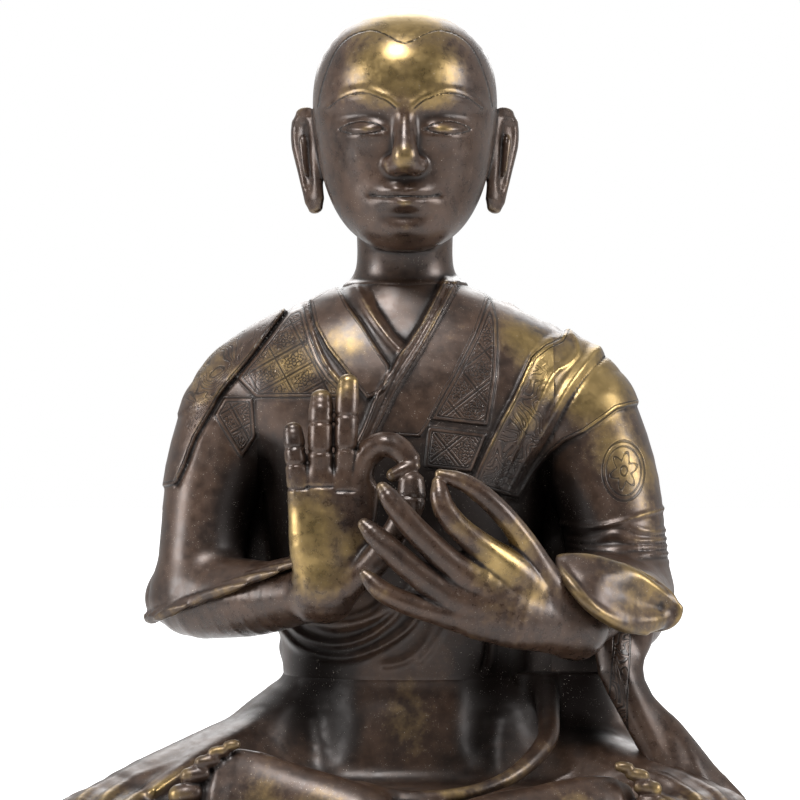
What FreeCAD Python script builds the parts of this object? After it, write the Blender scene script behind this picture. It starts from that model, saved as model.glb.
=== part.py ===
import FreeCAD, Part
import math
import os

Vector = FreeCAD.Vector
os.makedirs("parts", exist_ok=True)

# A seated teaching figure of patinated cast bronze, in millimetres. It faces -Y, +X is its own left,
# +Z is up, and the origin lies on the table under the middle of the cushion base.
# It is a set of hollow lost-wax castings that plug into each other: cushion base, lap, torso, two
# sleeves, two forearms with their hands, the end of the shawl and the head.

# Heights of the stack, from the table up
base_height = 36.0
lap_height = 84.0
torso_height = 158.0
neck_height = 14.0
head_height = 98.0

# Castings and the fit between them
casting_wall = 5.0
fit_gap = 0.2
overrun = 2.0
rivet_diameter = 4.0

# Cushion base, its cover plate and the pole inside
base_width = 320.0
base_depth = 212.0
rim_width = 5.0
ledge_width = 4.0
plate_recess = 1.2
plate_thickness = 1.2
plate_gap = 0.3
lip_reach = 2.4
lip_width = 9.0
pole_width = 12.0
pole_gap = 0.3

# Lap: hips, robe, thighs, shins and feet
spine_set_back = 27.0
hip_width = 166.0
hip_depth = 104.0
robe_width = 250.0
robe_depth = 172.0
knee_spread = 242.0
knee_forward = 70.0
thigh_thickness = 56.0
knee_thickness = 50.0
shin_thickness = 36.0
shin_forward = 108.0
foot_length = 69.0
foot_width = 29.0
foot_thickness = 17.0
toe_width = 8.0
tang_width = 14.0
tang_thickness = 7.0
tang_drop = 14.0
tang_spread = 128.0
wedge_length = 20.0
wedge_height = 5.0

# Torso, its folded bands and the joint at the waist
torso_width = 160.0
torso_depth = 86.0
waist_width = 100.0
waist_depth = 80.0
waist_wall = 11.0
band_rise = 1.4
dowel_length = 18.0

# Sleeves
shoulder_spread = 136.0
shoulder_drop = 42.0
elbow_drop = 126.0
right_elbow_side = 84.0
left_elbow_side = 88.0
elbow_forward = 16.0
right_sleeve_width = 36.0
left_sleeve_width = 42.0
cuff_width = 52.0
cuff_height = 24.0
sleeve_cloth = 1.6
cuff_gap = 1.2
arm_tenon_width = 15.0
arm_tenon_length = 13.0
shawl_end_width = 34.0
shawl_end_thickness = 13.0

# Forearms and hands
hand_length = 88.0
palm_width = 31.0
palm_thickness = 14.0
finger_width = 10.0
forearm_width = 27.0
wrist_width = 22.0
right_wrist_side = 31.0
left_wrist_side = 66.0
right_wrist_reach = 69.0
left_wrist_reach = 67.0
wrist_tenon_width = 9.0
wrist_tenon_length = 12.0

# Head and neck
head_width = 75.0
head_depth = 88.0
head_bow = 6.0
neck_width = 43.0
neck_tenon_width = 20.0
neck_tenon_length = 26.0
ear_length = 43.0
ear_width = 20.0
ear_thickness = 6.0

# Heights and reaches that follow from the stack
waist_z = base_height + lap_height
neck_z = waist_z + torso_height
chin_z = neck_z + neck_height
far_out = base_width + base_depth
up = Vector(0, 0, 1)
ahead = Vector(0, -1, 0)
to_left = Vector(1, 0, 0)


def ring(centre, across, along, count, squareness=2.0):
    """One closed section: points round an oval whose two half axes are the given vectors."""
    points = []
    for step in range(count):
        turn = 2 * math.pi * step / count
        far = math.copysign(abs(math.cos(turn)) ** (2 / squareness), math.cos(turn))
        near = math.copysign(abs(math.sin(turn)) ** (2 / squareness), math.sin(turn))
        points.append(centre + across * far + along * near)
    return points


def skin(rings):
    """A closed solid of flat facets through a row of sections with the same number of points."""
    count = len(rings[0])
    points = [point for section in rings for point in section]
    first_middle = len(points)
    last_middle = first_middle + 1
    for section in (rings[0], rings[-1]):
        middle = Vector(0, 0, 0)
        for point in section:
            middle += point
        points.append(middle * (1.0 / count))
    facets = []
    for row in range(len(rings) - 1):
        for step in range(count):
            low = row * count + step
            low_next = row * count + (step + 1) % count
            facets.append((low, low_next, low_next + count))
            facets.append((low, low_next + count, low + count))
    last_row = (len(rings) - 1) * count
    for step in range(count):
        facets.append(((step + 1) % count, step, first_middle))
        facets.append((last_row + step, last_row + (step + 1) % count, last_middle))
    shell = Part.Shape()
    shell.makeShapeFromMesh((points, facets), fit_gap / 1000)
    solid = Part.makeSolid(shell)
    if solid.Volume < 0:
        solid.reverse()
    return solid


def level_skin(stations, count, squareness=2.0):
    """A skin of level sections: each station is a height, two half widths and the middle's y."""
    rings = []
    for z, half_width, half_depth, middle_y in stations:
        centre = Vector(0, middle_y, z)
        rings.append(ring(centre, to_left * half_width, Vector(0, half_depth, 0), count, squareness))
    return skin(rings)


def limb(joints, station_shares, width, thickness, broad_side, count):
    """A limb along a smooth curve through its joints, swelling and tapering by its stations."""
    curve = Part.BSplineCurve()
    curve.interpolate(joints)
    span = curve.LastParameter - curve.FirstParameter
    rings = []
    for along_share, width_share, thickness_share in station_shares:
        place = curve.FirstParameter + span * along_share
        onward = curve.tangent(place)[0]
        broad = broad_side - onward * broad_side.dot(onward)
        broad.normalize()
        flat = onward.cross(broad)
        flat.normalize()
        half_broad = broad * (width * width_share / 2)
        half_flat = flat * (thickness * thickness_share / 2)
        rings.append(ring(curve.value(place), half_broad, half_flat, count))
    return skin(rings)


def block(x_low, x_high, y_low, y_high, z_low, z_high):
    return Part.makeBox(x_high - x_low, y_high - y_low, z_high - z_low, Vector(x_low, y_low, z_low))


def rod(start, end, diameter):
    """A round bar between two points."""
    return Part.makeCylinder(diameter / 2, (end - start).Length, start, end - start)


def square_bar(start, end, width, upright):
    """A square cast tenon between two points, with two of its sides along the upright direction."""
    onward = (end - start).normalize()
    first = (upright - onward * upright.dot(onward)).normalize()
    second = onward.cross(first)
    half = width / 2
    sections = []
    for place in (start, end):
        sections.append([place + first * half * a + second * half * b
                         for a, b in ((1, 1), (-1, 1), (-1, -1), (1, -1))])
    return skin(sections)


def half_space(point, normal):
    """A very large block that fills the side of a plane that its normal points to."""
    helper = to_left if abs(normal.x) < abs(normal.z) + abs(normal.y) else up
    first = normal.cross(helper).normalize() * far_out
    second = normal.cross(first).normalize() * far_out
    corners = [point + first + second, point - first + second, point - first - second,
               point + first - second]
    return Part.Face(Part.makePolygon(corners + corners[:1])).extrude(normal * far_out)


def save(name, *solids):
    """Write one sub-part and print what it is."""
    shape = solids[0].removeSplitter() if len(solids) == 1 else Part.makeCompound(list(solids))
    shape.exportStep("parts/" + name + ".step")
    box = shape.BoundBox
    print(name, len(shape.Solids), "solids", len(shape.Faces), "faces", shape.isValid(),
          [round(edge, 1) for edge in (box.XMin, box.XMax, box.YMin, box.YMax, box.ZMin, box.ZMax)])


# Cushion base: a low oval cushion, hollow below, with a deck that the lap stands on. It is fullest at
# mid height, and its rim keeps the cover plate off the table.
base_station_shares = ((0.0, 0.955), (0.1, 0.985), (0.32, 1.0), (0.62, 1.0), (0.84, 0.98), (0.95, 0.955),
                       (1.0, 0.93))
base_squareness_share = 2.5
base_sides = 36
chamber_sides = 16


def base_section(z, share, inset):
    return (z, base_width * share / 2 - inset, base_depth * share / 2 - inset, 0)


def base_skin(stations):
    return level_skin(stations, base_sides, base_squareness_share)


def chamber(z_low, z_high):
    """The oval shaft that runs up the middle of base, lap and torso and holds the pole."""
    return level_skin([(z, waist_width / 2 - waist_wall, waist_depth / 2 - waist_wall, spine_set_back)
                       for z in (z_low, z_high)], chamber_sides)


foot_share = base_station_shares[0][1]
plate_top = plate_recess + plate_thickness
cushion = base_skin([base_section(base_height * high, share, 0) for high, share in base_station_shares])
recess = base_skin([base_section(z, foot_share, rim_width) for z in (-overrun, plate_top)])
hollow = base_skin([base_section(z, foot_share, rim_width + ledge_width)
                    for z in (0, base_height - casting_wall)])
cushion_base = cushion.cut([recess, hollow, chamber(0, base_height + overrun)])

# Cover plate: a copper sheet against the ledge inside the rim, where lips chiselled up from the rim
# are hammered over its edge.
base_plate = base_skin([base_section(z, foot_share, rim_width + plate_gap)
                        for z in (plate_recess, plate_top)])
rim_inside_x = base_width * foot_share / 2 - rim_width
rim_inside_y = base_depth * foot_share / 2 - rim_width
lips = []
for side in (-1, 1):
    for place_share in (-0.35, 0.35):
        x = rim_inside_x * place_share * 0.8
        y_in = side * (rim_inside_y - lip_reach)
        y_out = side * (rim_inside_y + rim_width / 2)
        lips.append(block(x - lip_width / 2, x + lip_width / 2, min(y_in, y_out), max(y_in, y_out),
                          plate_recess / 2, plate_recess))
    x_in = side * (rim_inside_x - lip_reach)
    x_out = side * (rim_inside_x + rim_width / 2)
    lips.append(block(min(x_in, x_out), max(x_in, x_out), -lip_width / 2, lip_width / 2,
                      plate_recess / 2, plate_recess))
cushion_base = cushion_base.fuse(lips)

# Lap: hips, and the robe that is spread over the crossed legs.
hip_station_shares = ((0.0, 0.94, 0.96), (0.25, 1.0, 1.0), (0.55, 0.92, 0.95), (0.8, 0.8, 0.86),
                      (0.92, 0.71, 0.8))
robe_station_shares = ((0.0, 1.0, 1.0), (0.22, 0.98, 0.98), (0.4, 0.82, 0.86), (0.52, 0.6, 0.66))
robe_lean_share = 0.33
lap_sides = 22
hip_stations = []
for high, wide, deep in hip_station_shares:
    hip_stations.append((base_height + lap_height * high, hip_width * wide / 2, hip_depth * deep / 2,
                         spine_set_back + (hip_depth - waist_depth) * (1 - high) / 4))
hip_stations.append((waist_z, waist_width / 2, waist_depth / 2, spine_set_back))
hips = level_skin(hip_stations, lap_sides)
robe_stations = []
for high, wide, deep in robe_station_shares:
    lean = spine_set_back - (1 - high) * shin_forward * robe_lean_share
    robe_stations.append((base_height + lap_height * high, robe_width * wide / 2, robe_depth * deep / 2,
                          lean))
robe = level_skin(robe_stations, lap_sides)

# The core leaves a thick wall, because its sections have fewer sides than the skin's.
core_wall = 1.4 * casting_wall
core_closing_share = 0.66
core_sides = 12


def core(stations, roof_share):
    """The hollow under a stack of level sections, open at the bottom and closed at the roof's height."""
    inner = [(z, wide - core_wall, deep - core_wall, y) for z, wide, deep, y in stations[:3]]
    z, wide, deep, y = inner[-1]
    roof = (base_height + lap_height * roof_share, wide * core_closing_share, deep * core_closing_share, y)
    return level_skin([(base_height - overrun,) + inner[0][1:]] + inner[1:] + [roof], core_sides)


lap_cores = [core(hip_stations, 0.66), core(robe_stations, 0.44)]

# Beside the belly the robe sinks deep between the body and the thighs.
hollow_place_shares = (0.38, 0.42, 0.84)
hollow_size_shares = (0.13, 0.34, 0.22)
hollow_station_shares = ((-1.0, 0.2), (-0.8, 0.6), (-0.4, 0.92), (0.0, 1.0), (0.4, 0.92), (0.8, 0.6),
                         (1.0, 0.2))


def side_hollow(side):
    wide, forward, high = hollow_place_shares
    half_wide, half_deep, half_high = hollow_size_shares
    middle = Vector(side * waist_width * wide, spine_set_back - waist_depth * (forward + half_deep),
                    base_height + lap_height * high)
    rings = [ring(middle + up * (lap_height * half_high * rise), to_left * (waist_width * half_wide * girth),
                  Vector(0, waist_depth * half_deep * girth, 0), core_sides)
             for rise, girth in hollow_station_shares]
    return skin(rings)

# Thighs run out to the knees, shins fold back across the front, and each foot lies sole out on the
# other thigh. The figure's left foot is the upper one.
thigh_share = 0.55
thigh_station_shares = ((0.0, 1.1, 1.1), (0.3, 1.06, 1.04), (0.6, 0.97, 0.96), (0.8, 0.86, 0.82),
                        (0.92, 0.7, 0.7), (1.0, 0.3, 0.3))
shin_station_shares = ((0.0, 1.1, 1.15), (0.35, 1.12, 1.15), (0.7, 0.9, 0.95), (1.0, 0.75, 0.8))
foot_station_shares = ((0.0, 0.5, 0.6), (0.06, 0.8, 0.95), (0.2, 0.88, 1.1), (0.5, 0.86, 1.0),
                       (0.8, 1.06, 0.85), (0.94, 0.98, 0.66), (1.0, 0.8, 0.4))
toe_station_shares = ((0.0, 0.9, 0.9), (0.6, 1.0, 1.0), (1.0, 0.45, 0.45))
toe_long_shares = (0.2, 0.18, 0.16, 0.14, 0.12)
toe_wide_shares = (1.45, 1.0, 0.95, 0.9, 0.85)
thigh_sides = 14
foot_sides = 12
toe_sides = 6
ankle_side_shares = {-1: 0.25, 1: 0.1}
ankle_rise_shares = {-1: 0.3, 1: 0.34}
foot_climb_shares = {-1: 0.1, 1: 0.22}
knee_z = base_height + knee_thickness * 0.4
shin_y = spine_set_back - shin_forward
legs = []
for side in (-1, 1):
    hip_joint = Vector(side * waist_width * 0.4, spine_set_back, base_height + lap_height * thigh_share)
    knee = Vector(side * knee_spread / 2, spine_set_back - knee_forward, knee_z)
    middle = (hip_joint + knee) * 0.5
    beyond = knee + (knee - middle).normalize() * (knee_thickness / 2)
    legs.append(limb([hip_joint, middle, knee, beyond], thigh_station_shares, thigh_thickness,
                     thigh_thickness, to_left, thigh_sides))
    # The shin of this knee ends past the middle, under its own heel
    ankle = Vector(-side * foot_length * ankle_side_shares[side], shin_y,
                   base_height + lap_height * ankle_rise_shares[side])
    calf = Vector(side * knee_spread * 0.26, shin_y, base_height + shin_thickness * 0.5)
    legs.append(limb([knee, calf, ankle], shin_station_shares, shin_thickness, shin_thickness, ahead,
                     foot_sides))
    # Its foot with five toes
    heel = ankle + Vector(0, 0, lap_height * 0.06)
    toes = heel + Vector(-side * foot_length, foot_length * 0.26, foot_length * foot_climb_shares[side])
    instep = (heel + toes) * 0.5 + up * (foot_thickness * 0.15)
    sole_side = Vector(0, 0.35, 1)
    legs.append(limb([heel, instep, toes], foot_station_shares, foot_width, foot_thickness, sole_side,
                     foot_sides))
    onward = (toes - instep).normalize()
    crosswise = (sole_side - onward * sole_side.dot(onward)).normalize()
    for number, (long_share, wide_share) in enumerate(zip(toe_long_shares, toe_wide_shares)):
        set_back = toe_width * (0.3 + 0.22 * number)
        root = toes + crosswise * (toe_width * (number - 2) * 0.82) - onward * set_back
        tip = root + onward * (foot_length * long_share)
        legs.append(limb([root, (root + tip) * 0.5, tip], toe_station_shares, toe_width * wide_share,
                         toe_width * 1.1, crosswise, toe_sides))
lap_outer = hips.cut([side_hollow(-1), side_hollow(1)]).fuse([robe] + legs)

# Flat tangs under the lap go down through slots in the deck, and a flat wedge through each pulls it
# tight from below.
tangs = []
slots = []
wedge_holes = []
deck_wedge_set = []
for x in (-tang_spread / 2, tang_spread / 2):
    for y in (spine_set_back + waist_depth * 0.2, spine_set_back - knee_forward):
        half_x = tang_width / 2
        half_y = tang_thickness / 2
        post = block(x - half_x, x + half_x, y - half_y, y + half_y, base_height, waist_z)
        tangs.append(post.common(lap_outer))
        tangs.append(block(x - half_x, x + half_x, y - half_y, y + half_y, base_height - tang_drop,
                           base_height))
        slots.append(block(x - half_x - fit_gap, x + half_x + fit_gap, y - half_y - fit_gap,
                           y + half_y + fit_gap, 0, base_height + overrun))
        wedge_top = base_height - casting_wall
        half_wedge = tang_thickness / 4
        hole_half = half_wedge + fit_gap
        deck_wedge_set.append(block(x - half_wedge, x + half_wedge, y - wedge_length / 2,
                                    y + wedge_length / 2,
                                    wedge_top - wedge_height, wedge_top))
        wedge_holes.append(block(x - hole_half, x + hole_half, y - wedge_length, y + wedge_length,
                                 wedge_top - wedge_height - fit_gap, wedge_top + fit_gap))
lap = lap_outer.cut([block(-far_out, far_out, -far_out, far_out, -far_out, base_height),
                     chamber(base_height - overrun, waist_z + overrun)] + lap_cores)
lap = lap.fuse(tangs).cut(wedge_holes).removeSplitter()
cushion_base = cushion_base.cut(slots).removeSplitter()

# Torso: waist, chest and sloping shoulders. Its outer skin, or a fuller copy that stands proud.
torso_station_shares = (
    (0.09, 0.64, 0.94), (0.25, 0.675, 0.955), (0.41, 0.71, 0.98), (0.54, 0.73, 1.0), (0.645, 0.93, 1.0),
    (0.75, 1.0, 0.965), (0.82, 0.94, 0.9), (0.873, 0.84, 0.83), (0.918, 0.69, 0.75), (0.962, 0.51, 0.64))
armhole_share = 0.75
neck_foot_shares = (0.6, 0.55)
torso_squareness_share = 2.2
torso_sides = 24


def torso_skin(rise):
    stations = [(waist_z, waist_width / 2 + rise, waist_depth / 2 + rise, spine_set_back)]
    for high, wide, deep in torso_station_shares:
        stations.append((waist_z + torso_height * high, torso_width * wide / 2 + rise,
                         torso_depth * deep / 2 + rise, spine_set_back))
    wide, deep = neck_foot_shares
    stations.append((neck_z, neck_width * wide + rise, neck_width * deep + rise, spine_set_back))
    return level_skin(stations, torso_sides, torso_squareness_share)


# Folded bands of the robes over the chest. Each is its outline, seen from the front, cut out of a
# fuller torso. Outline points are shares of the torso's half width and of its height.
band_outline_shares = {
    "right collar": ((-0.33, 1.0), (-0.16, 1.0), (0.07, 0.76), (-0.06, 0.7), (-0.09, 0.77)),
    "left collar": ((0.19, 1.0), (0.37, 1.0), (-0.1, 0.56), (-0.28, 0.58)),
    "left strip": ((0.42, 1.0), (0.56, 0.96), (0.3, 0.46), (0.1, 0.46)),
    "shawl edge": ((0.6, 0.98), (0.72, 0.94), (0.74, 0.66), (0.5, 0.42), (0.38, 0.44)),
}
bust = torso_skin(0)
fuller_bust = torso_skin(band_rise)
bands = []
band_depth = far_out + spine_set_back - torso_depth * 0.1
for outline in band_outline_shares.values():
    corners = [Vector(torso_width / 2 * wide, -far_out, waist_z + torso_height * high)
               for wide, high in outline]
    prism = Part.Face(Part.makePolygon(corners + corners[:1])).extrude(Vector(0, band_depth, 0))
    bands.append(prism.common(fuller_bust))
armhole_x = torso_width / 2 * armhole_share
torso_outer = bust.fuse(bands)


def beyond_armhole(side, z_low):
    """What lies on the arm's side of the flat armhole seam, above a height."""
    x_low, x_high = (armhole_x, far_out) if side > 0 else (-far_out, -armhole_x)
    return block(x_low, x_high, -far_out, far_out, z_low, far_out)


armpit_z = waist_z + torso_height * 0.5
torso = torso_outer.cut([beyond_armhole(-1, armpit_z), beyond_armhole(1, armpit_z)])

# Inside, the torso is hollow up to the shoulders.
torso_hollow_shares = ((0.2, 0.52, 0.72), (0.45, 0.6, 0.82), (0.58, 0.6, 0.82), (0.66, 0.5, 0.7),
                       (0.72, 0.3, 0.4))
hollow_stations = [(waist_z - overrun, waist_width / 2 - waist_wall, waist_depth / 2 - waist_wall,
                    spine_set_back)]
for high, wide, deep in torso_hollow_shares:
    hollow_stations.append((waist_z + torso_height * high, torso_width * wide / 2, torso_depth * deep / 2,
                            spine_set_back))
torso = torso.cut(level_skin(hollow_stations, chamber_sides))

# Sleeves: each is the outer part of the shoulder with a cloth-covered arm hanging from it.
shoulder_z = neck_z - shoulder_drop
elbow_z = neck_z - elbow_drop
sleeve_station_shares = ((0.0, 0.3, 0.4), (0.05, 0.62, 0.74), (0.12, 0.88, 0.96), (0.2, 1.06, 1.08),
                         (0.35, 1.08, 1.08), (0.62, 0.98, 1.02), (0.86, 0.96, 0.98), (0.96, 0.8, 0.84),
                         (1.0, 0.45, 0.5))
arm_bow_share = 0.1
arm_sides = 16


def upper_arm(side, elbow, width):
    shoulder = Vector(side * shoulder_spread / 2, spine_set_back, shoulder_z)
    middle = (shoulder + elbow) * 0.5 + to_left * (side * width * arm_bow_share)
    top = shoulder + up * (width * 0.5)
    bottom = elbow + (elbow - middle).normalize() * (width * 0.45)
    arm = limb([top, shoulder, middle, elbow, bottom], sleeve_station_shares, width, width * 1.1, to_left,
               arm_sides)
    return torso_outer.common(beyond_armhole(side, armpit_z)).fuse(arm.common(beyond_armhole(side, 0)))


right_elbow = Vector(-right_elbow_side, spine_set_back - elbow_forward, elbow_z)
left_elbow = Vector(left_elbow_side, spine_set_back - elbow_forward, elbow_z + left_sleeve_width * 0.1)
right_wrist = Vector(-right_wrist_side, spine_set_back - right_wrist_reach, waist_z + torso_height * 0.235)
left_wrist = Vector(left_wrist_side, spine_set_back - left_wrist_reach, waist_z + torso_height * 0.145)

# Right forearm, bare below the hem. The sleeve hangs over its top down to a slanting hem plane.
forearm_station_shares = ((0.0, 0.9, 0.9), (0.08, 1.12, 1.12), (0.2, 1.2, 1.2), (0.5, 1.08, 1.06),
                          (0.8, 0.86, 0.88),
                          (1.0, 0.8, 0.8))
hem_slope_share = 0.43
forearm_sides = 14
hem_point = right_elbow - up * (right_sleeve_width * 0.06)
hem_normal = Vector(-hem_slope_share, 0, 1).normalize()
elbow_end = right_elbow + (right_elbow - right_wrist).normalize() * (forearm_width * 0.5)
halfway = (right_elbow + right_wrist) * 0.5 - up * (forearm_width * 0.08)
bare_forearm = limb([elbow_end, halfway, right_wrist], forearm_station_shares, forearm_width, forearm_width,
                    up, forearm_sides)
cloth_width = forearm_width + 2 * sleeve_cloth
cloth_forearm = limb([elbow_end, halfway, right_wrist], forearm_station_shares, cloth_width, cloth_width,
                     up, forearm_sides)
above_hem = half_space(hem_point, hem_normal)
right_sleeve = upper_arm(-1, right_elbow, right_sleeve_width).fuse(cloth_forearm).common(above_hem)

# Left sleeve: it turns forward at the elbow and opens in a wide flat cuff round the forearm.
cuff_station_shares = ((0.0, 0.6, 0.7), (0.12, 0.78, 1.15), (0.4, 0.82, 1.3), (0.75, 0.9, 1.1),
                       (1.0, 1.0, 1.0))
cuff_mouth = left_elbow + (left_wrist - left_elbow) * 0.78 + Vector(cuff_width * 0.235, 0, cuff_height * 0.4)
cuff_start = left_elbow + Vector(0, left_sleeve_width * 0.25, 0)
cuff_side = Vector(1, 0, -0.3)
cuff_sides = 18
cuff = limb([cuff_start, left_elbow, cuff_mouth], cuff_station_shares, cuff_width, cuff_height, cuff_side,
            cuff_sides)
left_sleeve = upper_arm(1, left_elbow, left_sleeve_width).fuse(cuff)

# Hands. A hand's places are shares of its length from the wrist: towards the thumb side of the
# picture or away from it, forward, and up.
finger_station_shares = ((0.0, 1.0, 1.0), (0.3, 0.94, 0.94), (0.5, 1.02, 1.02), (0.66, 0.9, 0.9),
                         (0.85, 0.9, 0.86),
                         (0.96, 0.66, 0.6), (1.0, 0.3, 0.3))
bent_station_shares = ((0.0, 1.2, 1.2), (0.25, 1.12, 1.08), (0.45, 1.05, 1.02), (0.65, 1.0, 0.98),
                       (0.82, 0.93, 0.9), (0.93, 0.74, 0.7), (1.0, 0.35, 0.35))
right_palm_station_shares = ((0.0, 0.6, 1.0), (0.14, 0.74, 1.3), (0.4, 0.95, 1.15), (0.75, 1.12, 1.0),
                             (1.0, 1.08, 0.75))
left_palm_station_shares = ((0.0, 0.7, 1.1), (0.3, 0.98, 1.2), (0.6, 1.2, 1.1), (0.85, 1.2, 1.0),
                            (1.0, 1.0, 0.7))
finger_sides = 8


def hand_place(wrist, direction, shares):
    across, forward, rise = shares
    return wrist + Vector(direction * across, -forward, rise) * hand_length


def hand(wrist, direction, palm_shares, station_shares, palm_side, finger_shares, width_shares):
    """A palm with its fingers and thumb, each given by its joints."""
    palm = limb([hand_place(wrist, direction, place) for place in palm_shares], station_shares,
                palm_width, palm_thickness, palm_side, forearm_sides)
    digits = []
    for name, places in finger_shares.items():
        joints = [hand_place(wrist, direction, place) for place in places]
        width = finger_width * width_shares[name]
        girth_shares = finger_station_shares if len(places) < 4 else bent_station_shares
        digits.append(limb(joints, girth_shares, width, width, palm_side, finger_sides))
    return palm, digits


# Right hand: raised, palm forward, three fingers up. The first finger bends over, and its last joint
# lies on the tip of the thumb.
right_palm_shares = ((0.0, 0.02, -0.09), (0.01, 0.05, 0.2), (0.05, 0.05, 0.5))
right_finger_shares = {
    "little": ((-0.118, 0.05, 0.4), (-0.13, 0.06, 0.58), (-0.145, 0.05, 0.765)),
    "ring": ((-0.02, 0.05, 0.43), (-0.022, 0.07, 0.68), (-0.018, 0.05, 0.909)),
    "middle": ((0.088, 0.05, 0.44), (0.09, 0.07, 0.7), (0.1, 0.05, 0.975)),
    "first": ((0.13, 0.05, 0.4), (0.165, 0.06, 0.57), (0.215, 0.075, 0.635), (0.27, 0.09, 0.655),
              (0.325, 0.1, 0.635), (0.375, 0.11, 0.585)),
    "first finger's last joint": ((0.41, 0.13, 0.575), (0.36, 0.14, 0.54), (0.3, 0.145, 0.505)),
    "thumb": ((0.1, 0.06, 0.03), (0.22, 0.1, 0.14), (0.33, 0.14, 0.3), (0.385, 0.15, 0.42),
              (0.392, 0.145, 0.52)),
}
right_width_shares = {"little": 0.84, "ring": 0.98, "middle": 0.92, "first": 0.95,
                      "first finger's last joint": 0.68,
                      "thumb": 1.0}
palm, digits = hand(right_wrist, 1, right_palm_shares, right_palm_station_shares, to_left,
                    right_finger_shares,
                    right_width_shares)
right_hand = bare_forearm.fuse([palm] + digits).cut(right_sleeve)

# Left hand: lower, its back forward, reaching across so that its first finger meets its thumb.
left_palm_shares = ((-0.02, -0.02, 0.0), (0.25, 0.2, 0.12), (0.5, 0.28, 0.2))
left_finger_shares = {
    "little": ((0.42, 0.26, 0.05), (0.59, 0.31, 0.085), (0.72, 0.33, 0.12), (0.84, 0.34, 0.18),
               (0.945, 0.33, 0.265)),
    "ring": ((0.4, 0.26, 0.12), (0.56, 0.31, 0.16), (0.7, 0.34, 0.26), (0.83, 0.35, 0.375),
             (0.94, 0.34, 0.48)),
    "middle": ((0.38, 0.26, 0.19), (0.53, 0.31, 0.275), (0.65, 0.34, 0.39), (0.76, 0.35, 0.51),
               (0.86, 0.34, 0.645)),
    "first": ((0.28, 0.24, 0.28), (0.42, 0.3, 0.385), (0.52, 0.33, 0.45), (0.585, 0.34, 0.55),
              (0.61, 0.32, 0.66)),
    "thumb": ((0.0, 0.08, 0.1), (0.1, 0.14, 0.22), (0.22, 0.21, 0.385), (0.34, 0.27, 0.51), (0.44, 0.3, 0.6),
              (0.58, 0.3, 0.665)),
}
left_width_shares = {"little": 0.86, "ring": 1.0, "middle": 0.98, "first": 0.92, "thumb": 0.78}
palm, digits = hand(left_wrist, -1, left_palm_shares, left_palm_station_shares, Vector(0, 0.2, 1),
                    left_finger_shares,
                    left_width_shares)
forearm_foot = left_elbow + (left_wrist - left_elbow) * 0.32
forearm_joints = [forearm_foot, (forearm_foot + left_wrist) * 0.5, left_wrist]
left_forearm_shares = ((0.0, 1.0, 1.0), (0.5, 0.94, 0.94), (1.0, 0.8, 0.8))
left_forearm = limb(forearm_joints, left_forearm_shares, forearm_width, forearm_width, up, forearm_sides)
mouth_width = forearm_width + 2 * cuff_gap
mouth = limb(forearm_joints, left_forearm_shares, mouth_width, mouth_width, up, forearm_sides)
left_sleeve_outer = left_sleeve
left_sleeve = left_sleeve_outer.cut(mouth)
left_hand = left_forearm.fuse([palm] + digits)

# Square tenons cast on the arms plug into the sleeves and the sleeves' own into the torso. A rivet
# chased flush crosses each.


def plug(inner, outer, outer_skin, root, tip, width, rivet_start, rivet_end):
    """Join two castings by a tenon on the inner one; returns both and the rivet, cut off flush."""
    onward = (tip - root).normalize()
    tenon = square_bar(root - onward * width, tip, width, up + ahead * 0.1)
    socket = square_bar(root - onward * width, tip + onward * fit_gap, width + 2 * fit_gap, up + ahead * 0.1)
    hole = rod(rivet_start, rivet_end, rivet_diameter + fit_gap)
    rivet = rod(rivet_start, rivet_end, rivet_diameter).common(outer_skin)
    return inner.fuse(tenon).cut(hole), outer.cut([socket, hole]), rivet


rivet_reach = far_out / 2
shoulder_rivet_set = []
arm_seat = Vector(armhole_x, spine_set_back, shoulder_z)
arm_tip = arm_seat - to_left * arm_tenon_length
rivet_x = armhole_x - arm_tenon_length / 2
back = Vector(0, rivet_reach, 0)
mid_tenon = Vector(rivet_x, spine_set_back - arm_tenon_width, shoulder_z)
left_sleeve, torso, rivet = plug(left_sleeve, torso, torso_outer, arm_seat, arm_tip, arm_tenon_width,
                                 mid_tenon, mid_tenon + back)
shoulder_rivet_set.append(rivet)
arm_seat, arm_tip, mid_tenon = [Vector(-place.x, place.y, place.z)
                                for place in (arm_seat, arm_tip, mid_tenon)]
right_sleeve, torso, rivet = plug(right_sleeve, torso, torso_outer, arm_seat, arm_tip, arm_tenon_width,
                                  mid_tenon, mid_tenon + back)
shoulder_rivet_set.append(rivet)


wrist_rivet_set = []
root = right_elbow - hem_normal * (right_elbow - hem_point).dot(hem_normal)
tip = root + hem_normal * wrist_tenon_length
middle = (root + tip) * 0.5 - Vector(0, wrist_tenon_width, 0)
right_hand, right_sleeve, rivet = plug(right_hand, right_sleeve, right_sleeve, root, tip, wrist_tenon_width,
                                       middle, middle + back)
wrist_rivet_set.append(rivet)
tip = forearm_foot + (left_elbow - left_wrist).normalize() * wrist_tenon_length
middle = (forearm_foot + tip) * 0.5 + up * wrist_tenon_width
left_hand, left_sleeve, rivet = plug(left_hand, left_sleeve, left_sleeve, forearm_foot, tip,
                                     wrist_tenon_width,
                                     middle, middle - up * rivet_reach)
wrist_rivet_set.append(rivet)

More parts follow.
